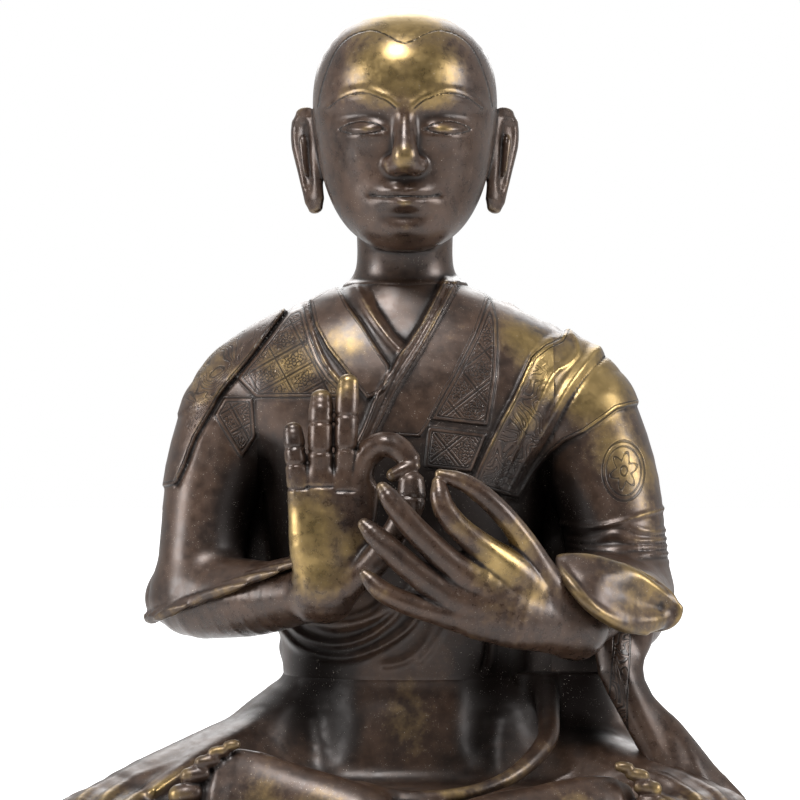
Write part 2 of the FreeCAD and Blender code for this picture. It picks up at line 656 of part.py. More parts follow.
# End of the shawl: it falls from under the left cuff and spreads on the thigh, cut to fit them both.
shawl_end_shares = ((0.0, 0.8, 1.0), (0.25, 0.72, 1.0), (0.45, 0.58, 1.0), (0.62, 0.66, 1.0),
                    (0.85, 0.8, 1.1),
                    (1.0, 0.8, 0.8))
shawl_top = left_elbow + (left_wrist - left_elbow) * 0.3
shawl_foot = Vector(knee_spread * 0.51, spine_set_back - knee_forward * 0.8, base_height + lap_height * 0.38)
shawl_middle = Vector(left_elbow_side, spine_set_back - knee_forward * 0.6, base_height + lap_height * 0.92)
shawl_end = limb([shawl_top, shawl_middle, shawl_foot], shawl_end_shares, shawl_end_width,
                 shawl_end_thickness,
                 Vector(1, 0.3, 0), forearm_sides)
shawl_end = shawl_end.cut([left_sleeve_outer, mouth, lap_outer])
shawl_end = max(shawl_end.Solids, key=lambda solid: solid.Volume)

# Head: a plain egg-shaped skull on a round neck, bowed a little. Stations are its height, half
# width, half depth and how far its middle lies forward of the skull's own.
skull_station_shares = (
    (0.0, 0.16, 0.14, 0.62), (0.04, 0.36, 0.32, 0.5), (0.12, 0.56, 0.52, 0.38), (0.22, 0.74, 0.68, 0.24),
    (0.35, 0.88, 0.84, 0.1), (0.48, 0.96, 0.96, 0.0), (0.62, 1.0, 1.0, -0.02), (0.76, 0.95, 0.96, -0.02),
    (0.87, 0.8, 0.82, -0.02), (0.945, 0.58, 0.6, -0.02), (0.985, 0.32, 0.34, -0.02), (1.0, 0.1, 0.1, -0.02))
skull_y = spine_set_back - head_depth * 0.1


def skull_section(high):
    """Half width, half depth and middle y of the skull at a share of its height."""
    for low, top in zip(skull_station_shares, skull_station_shares[1:]):
        if high <= top[0]:
            blend = (high - low[0]) / (top[0] - low[0])
            wide, deep, lead = [a + (b - a) * blend for a, b in zip(low[1:], top[1:])]
            return head_width * wide / 2, head_depth * deep / 2, skull_y - head_depth * lead / 2
    raise ValueError("no section above the crown")


def face_point(wide, high, proud):
    """A point on the front of the skull, given across and up as shares, standing proud by a share."""
    half_width, half_depth, middle_y = skull_section(high)
    y = middle_y - half_depth * math.sqrt(1 - wide * wide) - head_depth * proud
    return Vector(half_width * wide, y, chin_z + head_height * high)


def feature(places, station_shares, width_share, thickness_share, broad_side, count):
    return limb([face_point(*place) for place in places], station_shares, head_width * width_share,
                head_width * thickness_share, broad_side, count)


skull_stations = []
for high, wide, deep, lead in skull_station_shares:
    skull_stations.append((chin_z + head_height * high,) + skull_section(high))
skull_sides = 20
skull = level_skin(skull_stations, skull_sides)
skull_core = level_skin([(z, wide - core_wall, deep - core_wall, y)
                         for z, wide, deep, y in skull_stations[3:9]], core_sides)

# The face is a plain one on the usual measures: eyes half way up, nose to half way below them, and
# the mouth a third of the way from nose to chin.
round_shares = ((0.0, 0.3, 0.3), (0.18, 0.8, 0.8), (0.5, 1.0, 1.0), (0.82, 0.8, 0.8), (1.0, 0.3, 0.3))
nose_shares = ((0.0, 0.45, 0.5), (0.35, 0.5, 0.7), (0.7, 0.8, 0.95), (0.88, 1.0, 1.0), (1.0, 0.6, 0.6))
ear_shares = ((0.0, 0.5, 0.7), (0.1, 0.9, 1.0), (0.3, 1.0, 1.0), (0.55, 0.78, 0.9), (0.8, 0.62, 0.9),
              (0.94, 0.56, 0.9), (1.0, 0.3, 0.6))
features = [feature([(0, 0.545, -0.03), (0, 0.44, 0.015), (0, 0.35, 0.05), (0, 0.3, 0.0)], nose_shares,
                    0.23, 0.16, to_left, 10),
            feature([(-0.32, 0.2, -0.03), (0, 0.205, 0.0), (0.32, 0.2, -0.03)], round_shares,
                    0.06, 0.1, up, 8),
            feature([(-0.28, 0.155, -0.03), (0, 0.145, 0.0), (0.28, 0.155, -0.03)], round_shares, 0.07, 0.1,
                    up, 8)]
for side in (-1, 1):
    features.append(feature([(side * 0.16, 0.49, -0.035), (side * 0.4, 0.5, -0.015),
                             (side * 0.66, 0.49, -0.03)],
                            round_shares, 0.13, 0.12, up, 8))
    features.append(feature([(side * 0.1, 0.55, -0.035), (side * 0.38, 0.6, -0.024),
                             (side * 0.72, 0.55, -0.03)],
                            round_shares, 0.06, 0.1, up, 6))
    ear_top = Vector(side * head_width * 0.54, skull_y + head_depth * 0.06, chin_z + head_height * 0.58)
    ear_foot = ear_top - up * ear_length - Vector(side * ear_thickness * 0.8, ear_thickness * 0.4, 0)
    ear_middle = (ear_top + ear_foot) * 0.5 + Vector(side * ear_thickness * 0.1, 0, 0)
    ear_side = Vector(side * 0.62, 0.78, 0)
    ear_joints = [ear_top, ear_middle, ear_foot]
    ear = limb(ear_joints, ear_shares, ear_width, ear_thickness, ear_side, 10)
    shell_push = Vector(side * 0.78, -0.62, 0) * (ear_thickness * 0.62)
    inside = limb([(place - ear_middle) * 0.72 + ear_middle + up * ear_length * 0.06 + shell_push
                   for place in ear_joints], ear_shares, ear_width * 0.62, ear_thickness, ear_side, 6)
    features.append(ear.cut(inside))
bow_middle = Vector(0, skull_y, chin_z + head_height * 0.2)
head = skull.fuse(features)
skull_core.rotate(bow_middle, to_left, head_bow)
head.rotate(bow_middle, to_left, head_bow)
neck_sides = 16
neck_stations = [(neck_z, neck_width * neck_foot_shares[0], neck_width * neck_foot_shares[1],
                  spine_set_back),
                 (neck_z + neck_height * 0.25, neck_width * 0.52, neck_width * 0.5, spine_set_back),
                 (neck_z + neck_height * 0.7, neck_width * 0.46, neck_width * 0.47,
                  spine_set_back - neck_height * 0.1),
                 (chin_z + head_height * 0.1, neck_width * 0.46, neck_width * 0.5,
                  spine_set_back - neck_height * 0.2),
                 (chin_z + head_height * 0.35, neck_width * 0.5, neck_width * 0.5,
                  spine_set_back - neck_height * 0.3)]
head = head.fuse(level_skin(neck_stations, neck_sides)).cut(skull_core)
neck_root = Vector(0, spine_set_back, neck_z)
neck_tip = neck_root - up * neck_tenon_length
middle = (neck_root + neck_tip) * 0.5 - Vector(0, neck_tenon_width, 0)
head, torso, neck_rivet = plug(head, torso, torso_outer, neck_root, neck_tip, neck_tenon_width,
                               middle, middle + back)

# Dowels in the walls at the waist keep the torso in place on the lap.
waist_oval = ring(Vector(0, spine_set_back, waist_z), to_left * (waist_width - waist_wall) * 0.5,
                  Vector(0, (waist_depth - waist_wall) / 2, 0), 12)
dowel_set = []
half_dowel = up * (dowel_length / 2)
for place in (waist_oval[3], waist_oval[7], waist_oval[11]):
    dowel_set.append(rod(place - half_dowel, place + half_dowel, rivet_diameter))
    hole = rod(place - half_dowel - up * fit_gap, place + half_dowel + up * fit_gap,
               rivet_diameter + fit_gap)
    torso = torso.cut(hole)
    lap = lap.cut(hole)

# Pole: a square tapering rod of wood that stands on the cover plate inside the sealed figure.
pole_taper_share = 0.7
pole_top = waist_z + torso_height * torso_hollow_shares[-1][0] - pole_gap
pole_sections = []
for z, width in ((plate_top, pole_width), (pole_top, pole_width * pole_taper_share)):
    half = width / 2
    pole_sections.append([Vector(a * half, spine_set_back + b * half, z)
                          for a, b in ((1, 1), (-1, 1), (-1, -1), (1, -1))])
pole = skin(pole_sections)

save("cushion_base", cushion_base)
save("base_plate", base_plate)
save("life_pole", pole)
save("lap", lap)
save("deck_wedges", *deck_wedge_set)
save("torso", torso)
save("waist_dowels", *dowel_set)
save("right_sleeve", right_sleeve)
save("left_sleeve", left_sleeve)
save("shoulder_rivets", *shoulder_rivet_set)
save("right_hand", right_hand)
save("left_hand", left_hand)
save("wrist_rivets", *wrist_rivet_set)
save("shawl_end", shawl_end)
save("head", head)
save("neck_rivet", neck_rivet)
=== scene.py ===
import math
import bpy
import numpy as np
import openvdb
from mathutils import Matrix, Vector


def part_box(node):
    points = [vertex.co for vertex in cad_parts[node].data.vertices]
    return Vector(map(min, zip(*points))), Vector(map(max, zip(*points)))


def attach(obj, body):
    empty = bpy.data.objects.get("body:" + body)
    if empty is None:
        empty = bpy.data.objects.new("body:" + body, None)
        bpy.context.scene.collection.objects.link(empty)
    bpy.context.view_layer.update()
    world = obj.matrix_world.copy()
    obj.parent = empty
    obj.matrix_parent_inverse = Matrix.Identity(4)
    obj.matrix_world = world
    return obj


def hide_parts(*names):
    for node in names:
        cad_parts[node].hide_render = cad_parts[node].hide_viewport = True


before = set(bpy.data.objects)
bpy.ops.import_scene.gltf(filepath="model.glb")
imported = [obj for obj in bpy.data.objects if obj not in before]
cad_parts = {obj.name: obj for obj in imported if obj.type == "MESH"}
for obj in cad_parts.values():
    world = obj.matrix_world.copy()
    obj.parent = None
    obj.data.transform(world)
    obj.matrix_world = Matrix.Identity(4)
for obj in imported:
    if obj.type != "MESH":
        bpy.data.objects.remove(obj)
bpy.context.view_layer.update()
mm = 0.001

# Studio: a white sweep behind the figure, a soft lamp above the front, two weaker ones at the sides and a
# wide one behind. The camera stands level with the chest, as far off as a portrait lens asks.
camera_place = (-2 * mm, -1410 * mm, 232 * mm)
camera_lens = 157.5
film_width = 36.0
white = (1.0, 1.0, 1.0, 1.0)
camera_data = bpy.data.cameras.new("camera")
camera_data.sensor_width = film_width
camera_data.lens = camera_lens
camera = bpy.data.objects.new("camera", camera_data)
camera.location = camera_place
camera.rotation_euler = (math.radians(90), 0, 0)
bpy.context.collection.objects.link(camera)
bpy.context.scene.camera = camera
bpy.context.scene.view_settings.view_transform = "Standard"


def soft_lamp(name, place, aim, width, power):
    """A square soft box that looks at a point of the figure."""
    lamp_data = bpy.data.lights.new(name, "AREA")
    lamp_data.size = width
    lamp_data.energy = power
    lamp = bpy.data.objects.new(name, lamp_data)
    lamp.location = place
    lamp.rotation_euler = (Vector(aim) - Vector(place)).to_track_quat("-Z", "Y").to_euler()
    bpy.context.collection.objects.link(lamp)


chest = (0, 0, 240 * mm)
small_box, wide_box = 420 * mm, 900 * mm
soft_lamp("top_box", (-200 * mm, -700 * mm, 1150 * mm), chest, small_box, power=17.0)
soft_lamp("left_box", (-1000 * mm, -300 * mm, 420 * mm), chest, small_box, power=8.0)
soft_lamp("right_box", (1000 * mm, -300 * mm, 500 * mm), chest, small_box, power=8.5)
soft_lamp("back_box", (0, 900 * mm, 900 * mm), chest, wide_box, power=9.0)


class Reading:
    """A number that a shader works out over a surface. Arithmetic on it adds the nodes it needs."""

    def __init__(self, tree, socket):
        self.tree = tree
        self.socket = socket

    def work(self, operation, *others):
        """The result of a named sum on this reading and others."""
        node = self.tree.nodes.new("ShaderNodeMath")
        node.operation = operation
        self.tree.links.new(self.socket, node.inputs[0])
        for slot, other in enumerate(others, 1):
            if isinstance(other, Reading):
                self.tree.links.new(other.socket, node.inputs[slot])
            else:
                node.inputs[slot].default_value = other
        return Reading(self.tree, node.outputs[0])

    def __add__(self, other):
        return self.work("ADD", other)

    def __sub__(self, other):
        return self.work("SUBTRACT", other)

    def __mul__(self, other):
        return self.work("MULTIPLY", other)

    def __truediv__(self, other):
        return self.work("DIVIDE", other)

    def between(self, low, high, start=0.0, end=1.0):
        """Runs smoothly from start to end as the number goes from low to high."""
        node = self.tree.nodes.new("ShaderNodeMapRange")
        node.interpolation_type = "SMOOTHSTEP"
        self.tree.links.new(self.socket, node.inputs["Value"])
        for name, value in (("From Min", low), ("From Max", high), ("To Min", start), ("To Max", end)):
            node.inputs[name].default_value = value
        return Reading(self.tree, node.outputs["Result"])


def from_node(tree, kind, output, **settings):
    """The reading that a new node gives, with its inputs set by name."""
    node = tree.nodes.new(kind)
    for name, value in settings.items():
        socket = node.inputs[name.replace("_", " ")]
        if isinstance(value, Reading):
            tree.links.new(value.socket, socket)
        else:
            socket.default_value = value
    return Reading(tree, node.outputs[output])


def mix_tone(tree, share, first, second):
    """A colour between two, each a colour or a reading."""
    node = tree.nodes.new("ShaderNodeMix")
    node.data_type = "RGBA"
    for socket, value in ((node.inputs[0], share), (node.inputs[6], first), (node.inputs[7], second)):
        if isinstance(value, Reading):
            tree.links.new(value.socket, socket)
        elif socket == node.inputs[0]:
            socket.default_value = value
        else:
            socket.default_value = (*value, 1.0)
    return Reading(tree, node.outputs[2])


front_air, back_air, top_air = 0.05, 0.7, 0.4
mirrored_share = 0.12
world = bpy.data.worlds.new("studio_air")
bpy.context.scene.world = world
world.use_nodes = True
air = world.node_tree
air.nodes.clear()
direction = air.nodes.new("ShaderNodeSeparateXYZ")
air.links.new(air.nodes.new("ShaderNodeTexCoord").outputs["Generated"], direction.inputs[0])
toward_back = Reading(air, direction.outputs[1])
toward_top = Reading(air, direction.outputs[2])
air_level = toward_back.between(-0.6, 0.7, front_air, back_air) + toward_top.between(0.1, 1.0, 0.0, top_air)
rays = from_node(air, "ShaderNodeLightPath", "Is Camera Ray")
path = rays.socket.node
mirrored = Reading(air, path.outputs["Is Glossy Ray"]) + Reading(air, path.outputs["Is Transmission Ray"])
backdrop_share = (rays + mirrored * mirrored_share).work("MINIMUM", 1.0)
dim_air = from_node(air, "ShaderNodeBackground", 0, Strength=air_level)
white_air = from_node(air, "ShaderNodeBackground", 0, Color=white)
air_mix = air.nodes.new("ShaderNodeMixShader")
air.links.new(backdrop_share.socket, air_mix.inputs[0])
air.links.new(dim_air.socket, air_mix.inputs[1])
air.links.new(white_air.socket, air_mix.inputs[2])
air.links.new(air_mix.outputs[0], air.nodes.new("ShaderNodeOutputWorld").inputs[0])

# Floor: a pale sheet of matt studio paper, laid flat under the figure. It glows a little for the camera, so
# that the paper reads white and the shadow stays.
floor_half = 6.0
paper_glow, glow_start, glow_end = 0.45, 0.25, 0.9
paper_tones = (0.80, 0.80, 0.80), (0.83, 0.83, 0.83)
floor_mesh = bpy.data.meshes.new("studio_floor")
floor_corners = [(-floor_half, -floor_half, 0), (floor_half, -floor_half, 0),
                 (floor_half, floor_half, 0), (-floor_half, floor_half, 0)]
floor_mesh.from_pydata(floor_corners, [], [(0, 1, 2, 3)])
floor = bpy.data.objects.new("studio_floor", floor_mesh)
bpy.context.collection.objects.link(floor)
paper = bpy.data.materials.new("studio_paper")
paper.use_nodes = True
paper_tree = paper.node_tree
paper_shader = paper_tree.nodes["Principled BSDF"]
paper_shader.inputs["Roughness"].default_value = 0.9
fibres = from_node(paper_tree, "ShaderNodeTexNoise", "Fac", Scale=30.0)
paper_tone = mix_tone(paper_tree, fibres, *paper_tones)
paper_tree.links.new(paper_tone.socket, paper_shader.inputs["Base Color"])
paper_rays = from_node(paper_tree, "ShaderNodeLightPath", "Is Camera Ray")
paper_path = paper_rays.socket.node
paper_seen = paper_rays + Reading(paper_tree, paper_path.outputs["Is Transmission Ray"])
paper_spot = paper_tree.nodes.new("ShaderNodeSeparateXYZ")
paper_tree.links.new(paper_tree.nodes.new("ShaderNodeTexCoord").outputs["Object"], paper_spot.inputs[0])
paper_x, paper_y, _ = [Reading(paper_tree, output) for output in paper_spot.outputs]
from_figure = (paper_x * paper_x + paper_y * paper_y).work("SQRT")
glow = from_figure.between(glow_start, glow_end, paper_glow, 1.0)
paper_tree.links.new((paper_seen * glow).socket, paper_shader.inputs["Emission Strength"])
paper_shader.inputs["Emission Color"].default_value = white
floor_mesh.materials.append(paper)

# Cushion base: a low oval cushion cast hollow in bronze, with a corded seam along its top and bottom edges.
# The lap stands on its deck, and a rim round its foot meets the table.
base_low, base_high = (np.array(corner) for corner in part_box("cushion_base"))
base_top = base_high[2]
base_half = (base_high - base_low) / 2
base_profile_shares = ((0.0, 0.955), (0.02, 0.962), (0.07, 0.985), (0.11, 0.992), (0.14, 0.98),
                       (0.16, 0.981), (0.24, 0.993), (0.38, 1.0), (0.5, 1.0), (0.62, 0.998), (0.74, 0.988),
                       (0.82, 0.973), (0.845, 0.968), (0.87, 0.974), (0.91, 0.974), (0.95, 0.963),
                       (0.985, 0.94), (1.0, 0.92), (1.0, 0.88), (1.0, 0.7), (1.0, 0.3))
base_squareness = 2.5
base_columns, knot_steps = 420, 3
rim_width, rim_bevel_share = 5.0 * mm, 0.3
recess_height, recess_middle_share = 2.35 * mm, 0.5
foot_seam_share, deck_seam_share, deck_seam_end_share = 0.14, 0.84, 0.99
cord_depth_share, cord_strands, cord_slant = 0.0018, 150, 60


def smooth_through(knots, steps):
    """Points along a smooth curve through given knots, each a row of numbers."""
    knots = np.array(knots, float)
    knots = np.vstack([2 * knots[0] - knots[1], knots, 2 * knots[-1] - knots[-2]])
    rows = []
    for start in range(len(knots) - 3):
        a, b, c, d = knots[start:start + 4]
        for share in np.arange(steps) / steps:
            rows.append(0.5 * (2 * b + (c - a) * share + (2 * a - 5 * b + 4 * c - d) * share ** 2
                               + (3 * b - a - 3 * c + d) * share ** 3))
    rows.append(knots[-2])
    return np.array(rows)


def mesh_object(name, points, faces):
    """A mesh object from arrays of points and of faces that all have as many corners."""
    mesh = bpy.data.meshes.new(name)
    points = np.asarray(points, np.float32)
    faces = np.asarray(faces, np.int32)
    mesh.vertices.add(len(points))
    mesh.vertices.foreach_set("co", points.ravel())
    mesh.loops.add(faces.size)
    mesh.loops.foreach_set("vertex_index", faces.ravel())
    mesh.polygons.add(len(faces))
    mesh.polygons.foreach_set("loop_start", np.arange(0, faces.size, faces.shape[1], dtype=np.int32))
    mesh.update(calc_edges=True)
    mesh.validate()
    mesh.polygons.foreach_set("use_smooth", np.full(len(mesh.polygons), True))
    thing = bpy.data.objects.new(name, mesh)
    bpy.context.collection.objects.link(thing)
    return thing


def note(thing, name, values):
    """Keep one number for each point of a mesh, for the shader to read."""
    layer = thing.data.attributes.new(name, "FLOAT", "POINT")
    layer.data.foreach_set("value", np.asarray(values, np.float32))


def blobs(points, places):
    """How far rubbing hands have brightened each point, or below zero how much painted shade darkens it.

    A place is a point and a reach in millimetres, and a strength. Places of painted shade come last.
    """
    level = np.zeros(len(points), np.float32)
    for x, y, z, reach, strength in places:
        away = np.linalg.norm((points - np.array((x, y, z)) * mm) / (reach * mm), axis=1)
        near = np.exp(-away ** 2)
        level = np.maximum(level, strength * near) if strength > 0 else level + (strength - level) * near
    return level


turns = 2 * np.pi * np.arange(base_columns) / base_columns
oval_x = np.sign(np.cos(turns)) * np.abs(np.cos(turns)) ** (2 / base_squareness)
oval_y = np.sign(np.sin(turns)) * np.abs(np.sin(turns)) ** (2 / base_squareness)


def base_row(high, share, inset=0.0):
    """One level row of points round the base."""
    return np.column_stack([oval_x * (base_half[0] * share - inset), oval_y * (base_half[1] * share - inset),
                            np.full(base_columns, high)])


foot_share = base_profile_shares[0][1]
base_rows = [base_row(recess_height, recess_middle_share),
             base_row(recess_height, foot_share, rim_width),
             base_row(0, foot_share, rim_width),
             base_row(0, foot_share, rim_width * rim_bevel_share)]
for high, share in smooth_through(base_profile_shares, knot_steps):
    row = base_row(min(high, 1.0) * base_top, min(share, 1.0))
    if high < foot_seam_share or deck_seam_share < high < deck_seam_end_share:
        cord_twist = cord_depth_share * np.sin(turns * cord_strands + high * cord_slant)
        row[:, :2] *= (1 + np.minimum(cord_twist, 0.0))[:, None]
    base_rows.append(row)
base_points = np.vstack(base_rows)
base_faces = []
step = np.arange(base_columns)
onward = (step + 1) % base_columns
for number in range(len(base_rows) - 1):
    low = number * base_columns
    high = low + base_columns
    base_faces.append(np.column_stack([low + step, low + onward, high + onward, high + step]))
under_middle = len(base_points)
deck_middle = under_middle + 1
base_points = np.vstack([base_points, [[0, 0, recess_height], [0, 0, base_top]]])
last = (len(base_rows) - 1) * base_columns
pairs = step[::2]
base_faces.append(np.column_stack([(pairs + 2) % base_columns, (pairs + 1) % base_columns, pairs,
                                   np.full(len(pairs), under_middle)]))
base_faces.append(np.column_stack([last + pairs, last + (pairs + 1) % base_columns,
                                   last + (pairs + 2) % base_columns, np.full(len(pairs), deck_middle)]))
cushion = mesh_object("cushion_base_casting", base_points, np.vstack(base_faces))


def base_band(height_share, spread_share):
    """A quarter along one level of the base, fading above and below."""
    return 0.25 * np.exp(-((base_points[:, 2] / base_top - height_share) / spread_share) ** 2)


note(cushion, "air", 0.5 - base_band(foot_seam_share, 0.03) - base_band(deck_seam_share, 0.03))
note(cushion, "rubbed_and_shade", base_band(0.92, 0.05))


def kept_note(tree, name):
    """The reading of a number that was kept for each point of a mesh."""
    reading = from_node(tree, "ShaderNodeAttribute", "Fac")
    reading.socket.node.attribute_name = name
    return reading


def noise(tree, place, **settings):
    """A cloudy reading over a place, between nought and one."""
    return from_node(tree, "ShaderNodeTexNoise", "Fac", Vector=place, **settings)


def bronze(name, dark, brown, gold, polish, pattern=None):
    """Patinated bronze: dark in hollows, brown on open faces, olive gold where hands have rubbed it. Where
    the kept number falls below zero, painted shade darkens it near black and dulls its gloss.

    A pattern gives the depth of its chased lines and how dark they are.
    """
    edge_pull, cloud_pull, smear_pull, hollow_and_shade_pull = 0.35, 0.75, 0.5, 0.8
    line_depth = 1.3
    material = bpy.data.materials.new(name)
    material.use_nodes = True
    tree = material.node_tree
    shader = tree.nodes["Principled BSDF"]
    place = from_node(tree, "ShaderNodeTexCoord", "Object")
    openness = kept_note(tree, "air")
    rubbed_and_shade = kept_note(tree, "rubbed_and_shade")
    clouds = noise(tree, place, Scale=55.0, Detail=6.0, Roughness=0.62)
    smears = noise(tree, place, Scale=240.0, Detail=5.0, Roughness=0.6)
    grain = noise(tree, place, Scale=1500.0, Detail=3.0)
    specks = noise(tree, place, Scale=2600.0, Detail=1.0)
    # Painted shade: below zero the kept number darkens the tone towards near black and takes away gold and
    # gloss, as in deep shadow. It is joined to the real dark patina of the hollows.
    painted_shade = rubbed_and_shade.between(-0.9, -0.05, 1.0, 0.0)
    hollow_patina_and_shade = (openness.between(0.5, 0.27) + painted_shade).work("MINIMUM", 1.0)
    edges = openness.between(0.52, 0.68)
    bright = rubbed_and_shade + edges * edge_pull + (clouds - 0.5) * cloud_pull + (smears - 0.5) * smear_pull
    bright = bright - hollow_patina_and_shade * hollow_and_shade_pull
    gold_share = bright.between(0.2, 0.85)
    brown_share = (clouds * 0.9 + smears * 0.5 - hollow_patina_and_shade).between(0.38, 0.95)
    tone = mix_tone(tree, brown_share, dark, brown)
    tone = mix_tone(tree, gold_share, tone, gold)
    # The darkest tone serves the patina in hollows and chased lines, and the painted shade as well.
    grime_and_shade_tone = tuple(value * 0.16 for value in dark)
    tone = mix_tone(tree, hollow_patina_and_shade * 0.95, tone, grime_and_shade_tone)
    dust = specks.between(0.7, 0.78) * smears.between(0.4, 0.6) * 0.75
    height = grain * 0.05 + smears * 0.16 + clouds * 0.25
    if pattern:
        cut, darkness = pattern(tree, place)
        height = height - cut * line_depth
        tone = mix_tone(tree, cut * darkness, tone, grime_and_shade_tone)
    tone = mix_tone(tree, dust, tone, dust_tone)
    tree.links.new(tone.socket, shader.inputs["Base Color"])
    roughness = smears.between(0.2, 0.8, polish - 0.07, polish + 0.1) + hollow_patina_and_shade * 0.25
    tree.links.new(roughness.socket, shader.inputs["Roughness"])
    metal = gold_share.between(0.0, 0.8, 0.35, 0.95) * hollow_patina_and_shade.between(0.0, 1.0, 1.0, 0.3)
    tree.links.new(metal.socket, shader.inputs["Metallic"])
    tree.links.new((hollow_patina_and_shade * -0.5 + 0.55).socket, shader.inputs["Specular IOR Level"])
    bump = from_node(tree, "ShaderNodeBump", "Normal", Strength=0.6, Distance=0.3 * mm, Height=height)
    tree.links.new(bump.socket, shader.inputs["Normal"])
    return material


patina_dark = (0.018, 0.011, 0.0085)
patina_brown = (0.062, 0.034, 0.021)
worn_gold = (0.32, 0.225, 0.095)
dust_tone = (0.5, 0.46, 0.4)
base_bronze = bronze("base_bronze", patina_dark, patina_brown, worn_gold, polish=0.4)
cushion.data.materials.append(base_bronze)
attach(cushion, "root")
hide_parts("cushion_base")

# Lap: hips and the robe spread over the crossed legs, with both feet lying sole up on the thighs, in one
# hollow bronze casting. Its tangs go down through the deck of the base. The wax model that it was cast from
# is built up in a block of small cells, where each cell knows its distance to the wax.
lap_low, lap_high = (np.array(corner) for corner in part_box("lap"))
waist_z = lap_high[2]
seat_z = base_top
lap_rise = waist_z - seat_z
spine_y = 27 * mm
far = 50 * mm
margin = 5 * mm
curve_steps = 6
least_slope = 1e-6
steepness_limits = 0.7, 12.0


def wax_block(low, high, cell):
    """A block of cells for one wax model, with no wax in it yet."""
    low = np.array(low, float)
    count = np.ceil((np.array(high, float) - low) / cell).astype(int) + 1
    return {"low": low, "cell": cell, "count": count, "gap": np.full(count, far, np.float32)}


def part_of(wax, low, high):
    """The cells between two corners, and their x, y and z."""
    first = np.floor((np.array(low, float) - wax["low"]) / wax["cell"]).astype(int)
    last = np.ceil((np.array(high, float) - wax["low"]) / wax["cell"]).astype(int) + 1
    first = np.clip(first, 0, wax["count"] - 1)
    last = np.clip(last, first + 1, wax["count"])
    x, y, z = [(wax["low"][axis] + wax["cell"] * np.arange(first[axis], last[axis])).astype(np.float32)
               for axis in range(3)]
    place = tuple(slice(start, end) for start, end in zip(first, last))
    return place, x[:, None, None], y[None, :, None], z[None, None, :]


def whole(wax):
    """All cells of a block, and their x, y and z."""
    return part_of(wax, wax["low"], wax["low"] + wax["cell"] * wax["count"])


def soft_least(first, second, blend):
    """The smaller of two distances, rounded off by a fillet where they are alike."""
    share = np.clip(0.5 + 0.5 * (first - second) / blend, 0, 1)
    return first + (second - first) * share - blend * share * (1 - share)


def lay_on(wax, place, gap, blend):
    """Press more wax on, with a fillet about as wide as the blend."""
    wax["gap"][place] = soft_least(wax["gap"][place], gap, blend)


def take_off(wax, place, gap, blend):
    """Scrape wax away, where the gap is below zero."""
    wax["gap"][place] = -soft_least(-wax["gap"][place], gap, blend)


def heading(start, end):
    """The direction from one spot to another, of length one."""
    return (end - start) / np.linalg.norm(end - start)


def limb(wax, joints, stations, width, thickness, broad_side):
    """Cells round a limb that follows a smooth curve through its joints and swells by its stations.

    A station is a share of the limb's run, of its width and of its thickness.
    """
    line = smooth_through(joints, curve_steps)
    run = np.concatenate([[0], np.cumsum(np.linalg.norm(np.diff(line, axis=0), axis=1))])
    run /= run[-1]
    along, wide, thick = np.array(stations, float).T
    broad = width / 2 * np.interp(run, along, wide)
    flat = thickness / 2 * np.interp(run, along, thick)
    reach = max(broad.max(), flat.max()) + margin
    place, x, y, z = part_of(wax, line.min(0) - reach, line.max(0) + reach)
    gap = np.full((x.size, y.size, z.size), far, np.float32)
    origin = [cells.start for cells in place]
    for number in range(len(line) - 1):
        start, end = line[number], line[number + 1]
        near = max(broad[number], broad[number + 1], flat[number], flat[number + 1]) + margin
        cells, x, y, z = part_of(wax, np.minimum(start, end) - near, np.maximum(start, end) + near)
        local = tuple(slice(cell.start - first, cell.stop - first) for cell, first in zip(cells, origin))
        length = np.linalg.norm(end - start)
        onward = (end - start) / length
        side = np.array(broad_side, float)
        side -= onward * side.dot(onward)
        side /= np.linalg.norm(side)
        front = np.cross(onward, side)
        x, y, z = x - start[0], y - start[1], z - start[2]
        passed = x * onward[0] + y * onward[1] + z * onward[2]
        share = np.clip(passed / length, 0, 1)
        beyond = passed - share * length
        across = x * side[0] + y * side[1] + z * side[2]
        depth = x * front[0] + y * front[1] + z * front[2]
        half_broad = broad[number] + (broad[number + 1] - broad[number]) * share
        half_flat = flat[number] + (flat[number + 1] - flat[number]) * share
        half_end = np.minimum(half_broad, half_flat)
        level = np.sqrt((across / half_broad) ** 2 + (depth / half_flat) ** 2 + (beyond / half_end) ** 2)
        slope = np.sqrt((across / half_broad ** 2) ** 2 + (depth / half_flat ** 2) ** 2
                        + (beyond / half_end ** 2) ** 2) + least_slope
        gap[local] = np.minimum(gap[local], level * (level - 1) / slope)
    return place, gap


def lay_limb(wax, joints, stations, width, thickness, broad_side, blend):
    """Press a limb on."""
    lay_on(wax, *limb(wax, joints, stations, width, thickness, broad_side), blend)


def stack(wax, stations, squareness=2.0):
    """Cells round a body of level ovals: each station is a height, two half widths and the middle's y."""
    knots = smooth_through(stations, curve_steps)
    low, high = knots[:, 0].min(), knots[:, 0].max()
    reach = knots[:, 1:3].max() + 3 * margin
    place, x, y, z = part_of(wax, (-reach, knots[:, 3].min() - reach, low - 3 * margin),
                             (reach, knots[:, 3].max() + reach, high + 3 * margin))
    half_x, half_y, middle = [np.interp(z, knots[:, 0], knots[:, column]) for column in (1, 2, 3)]
    level_x = np.abs(x / half_x)
    level_y = np.abs((y - middle) / half_y)
    level = (level_x ** squareness + level_y ** squareness) ** (1 / squareness)
    slope = np.sqrt((level_x / half_x) ** 2 + (level_y / half_y) ** 2)
    slope /= np.hypot(level_x, level_y) + least_slope
    side = ((level - 1) / (slope + least_slope)).astype(np.float32)
    steepness = np.sqrt(sum(np.gradient(side, wax["cell"], axis=axis) ** 2 for axis in range(3)))
    side /= np.clip(steepness, *steepness_limits)
    return place, np.maximum(side, np.maximum(z - high, low - z))


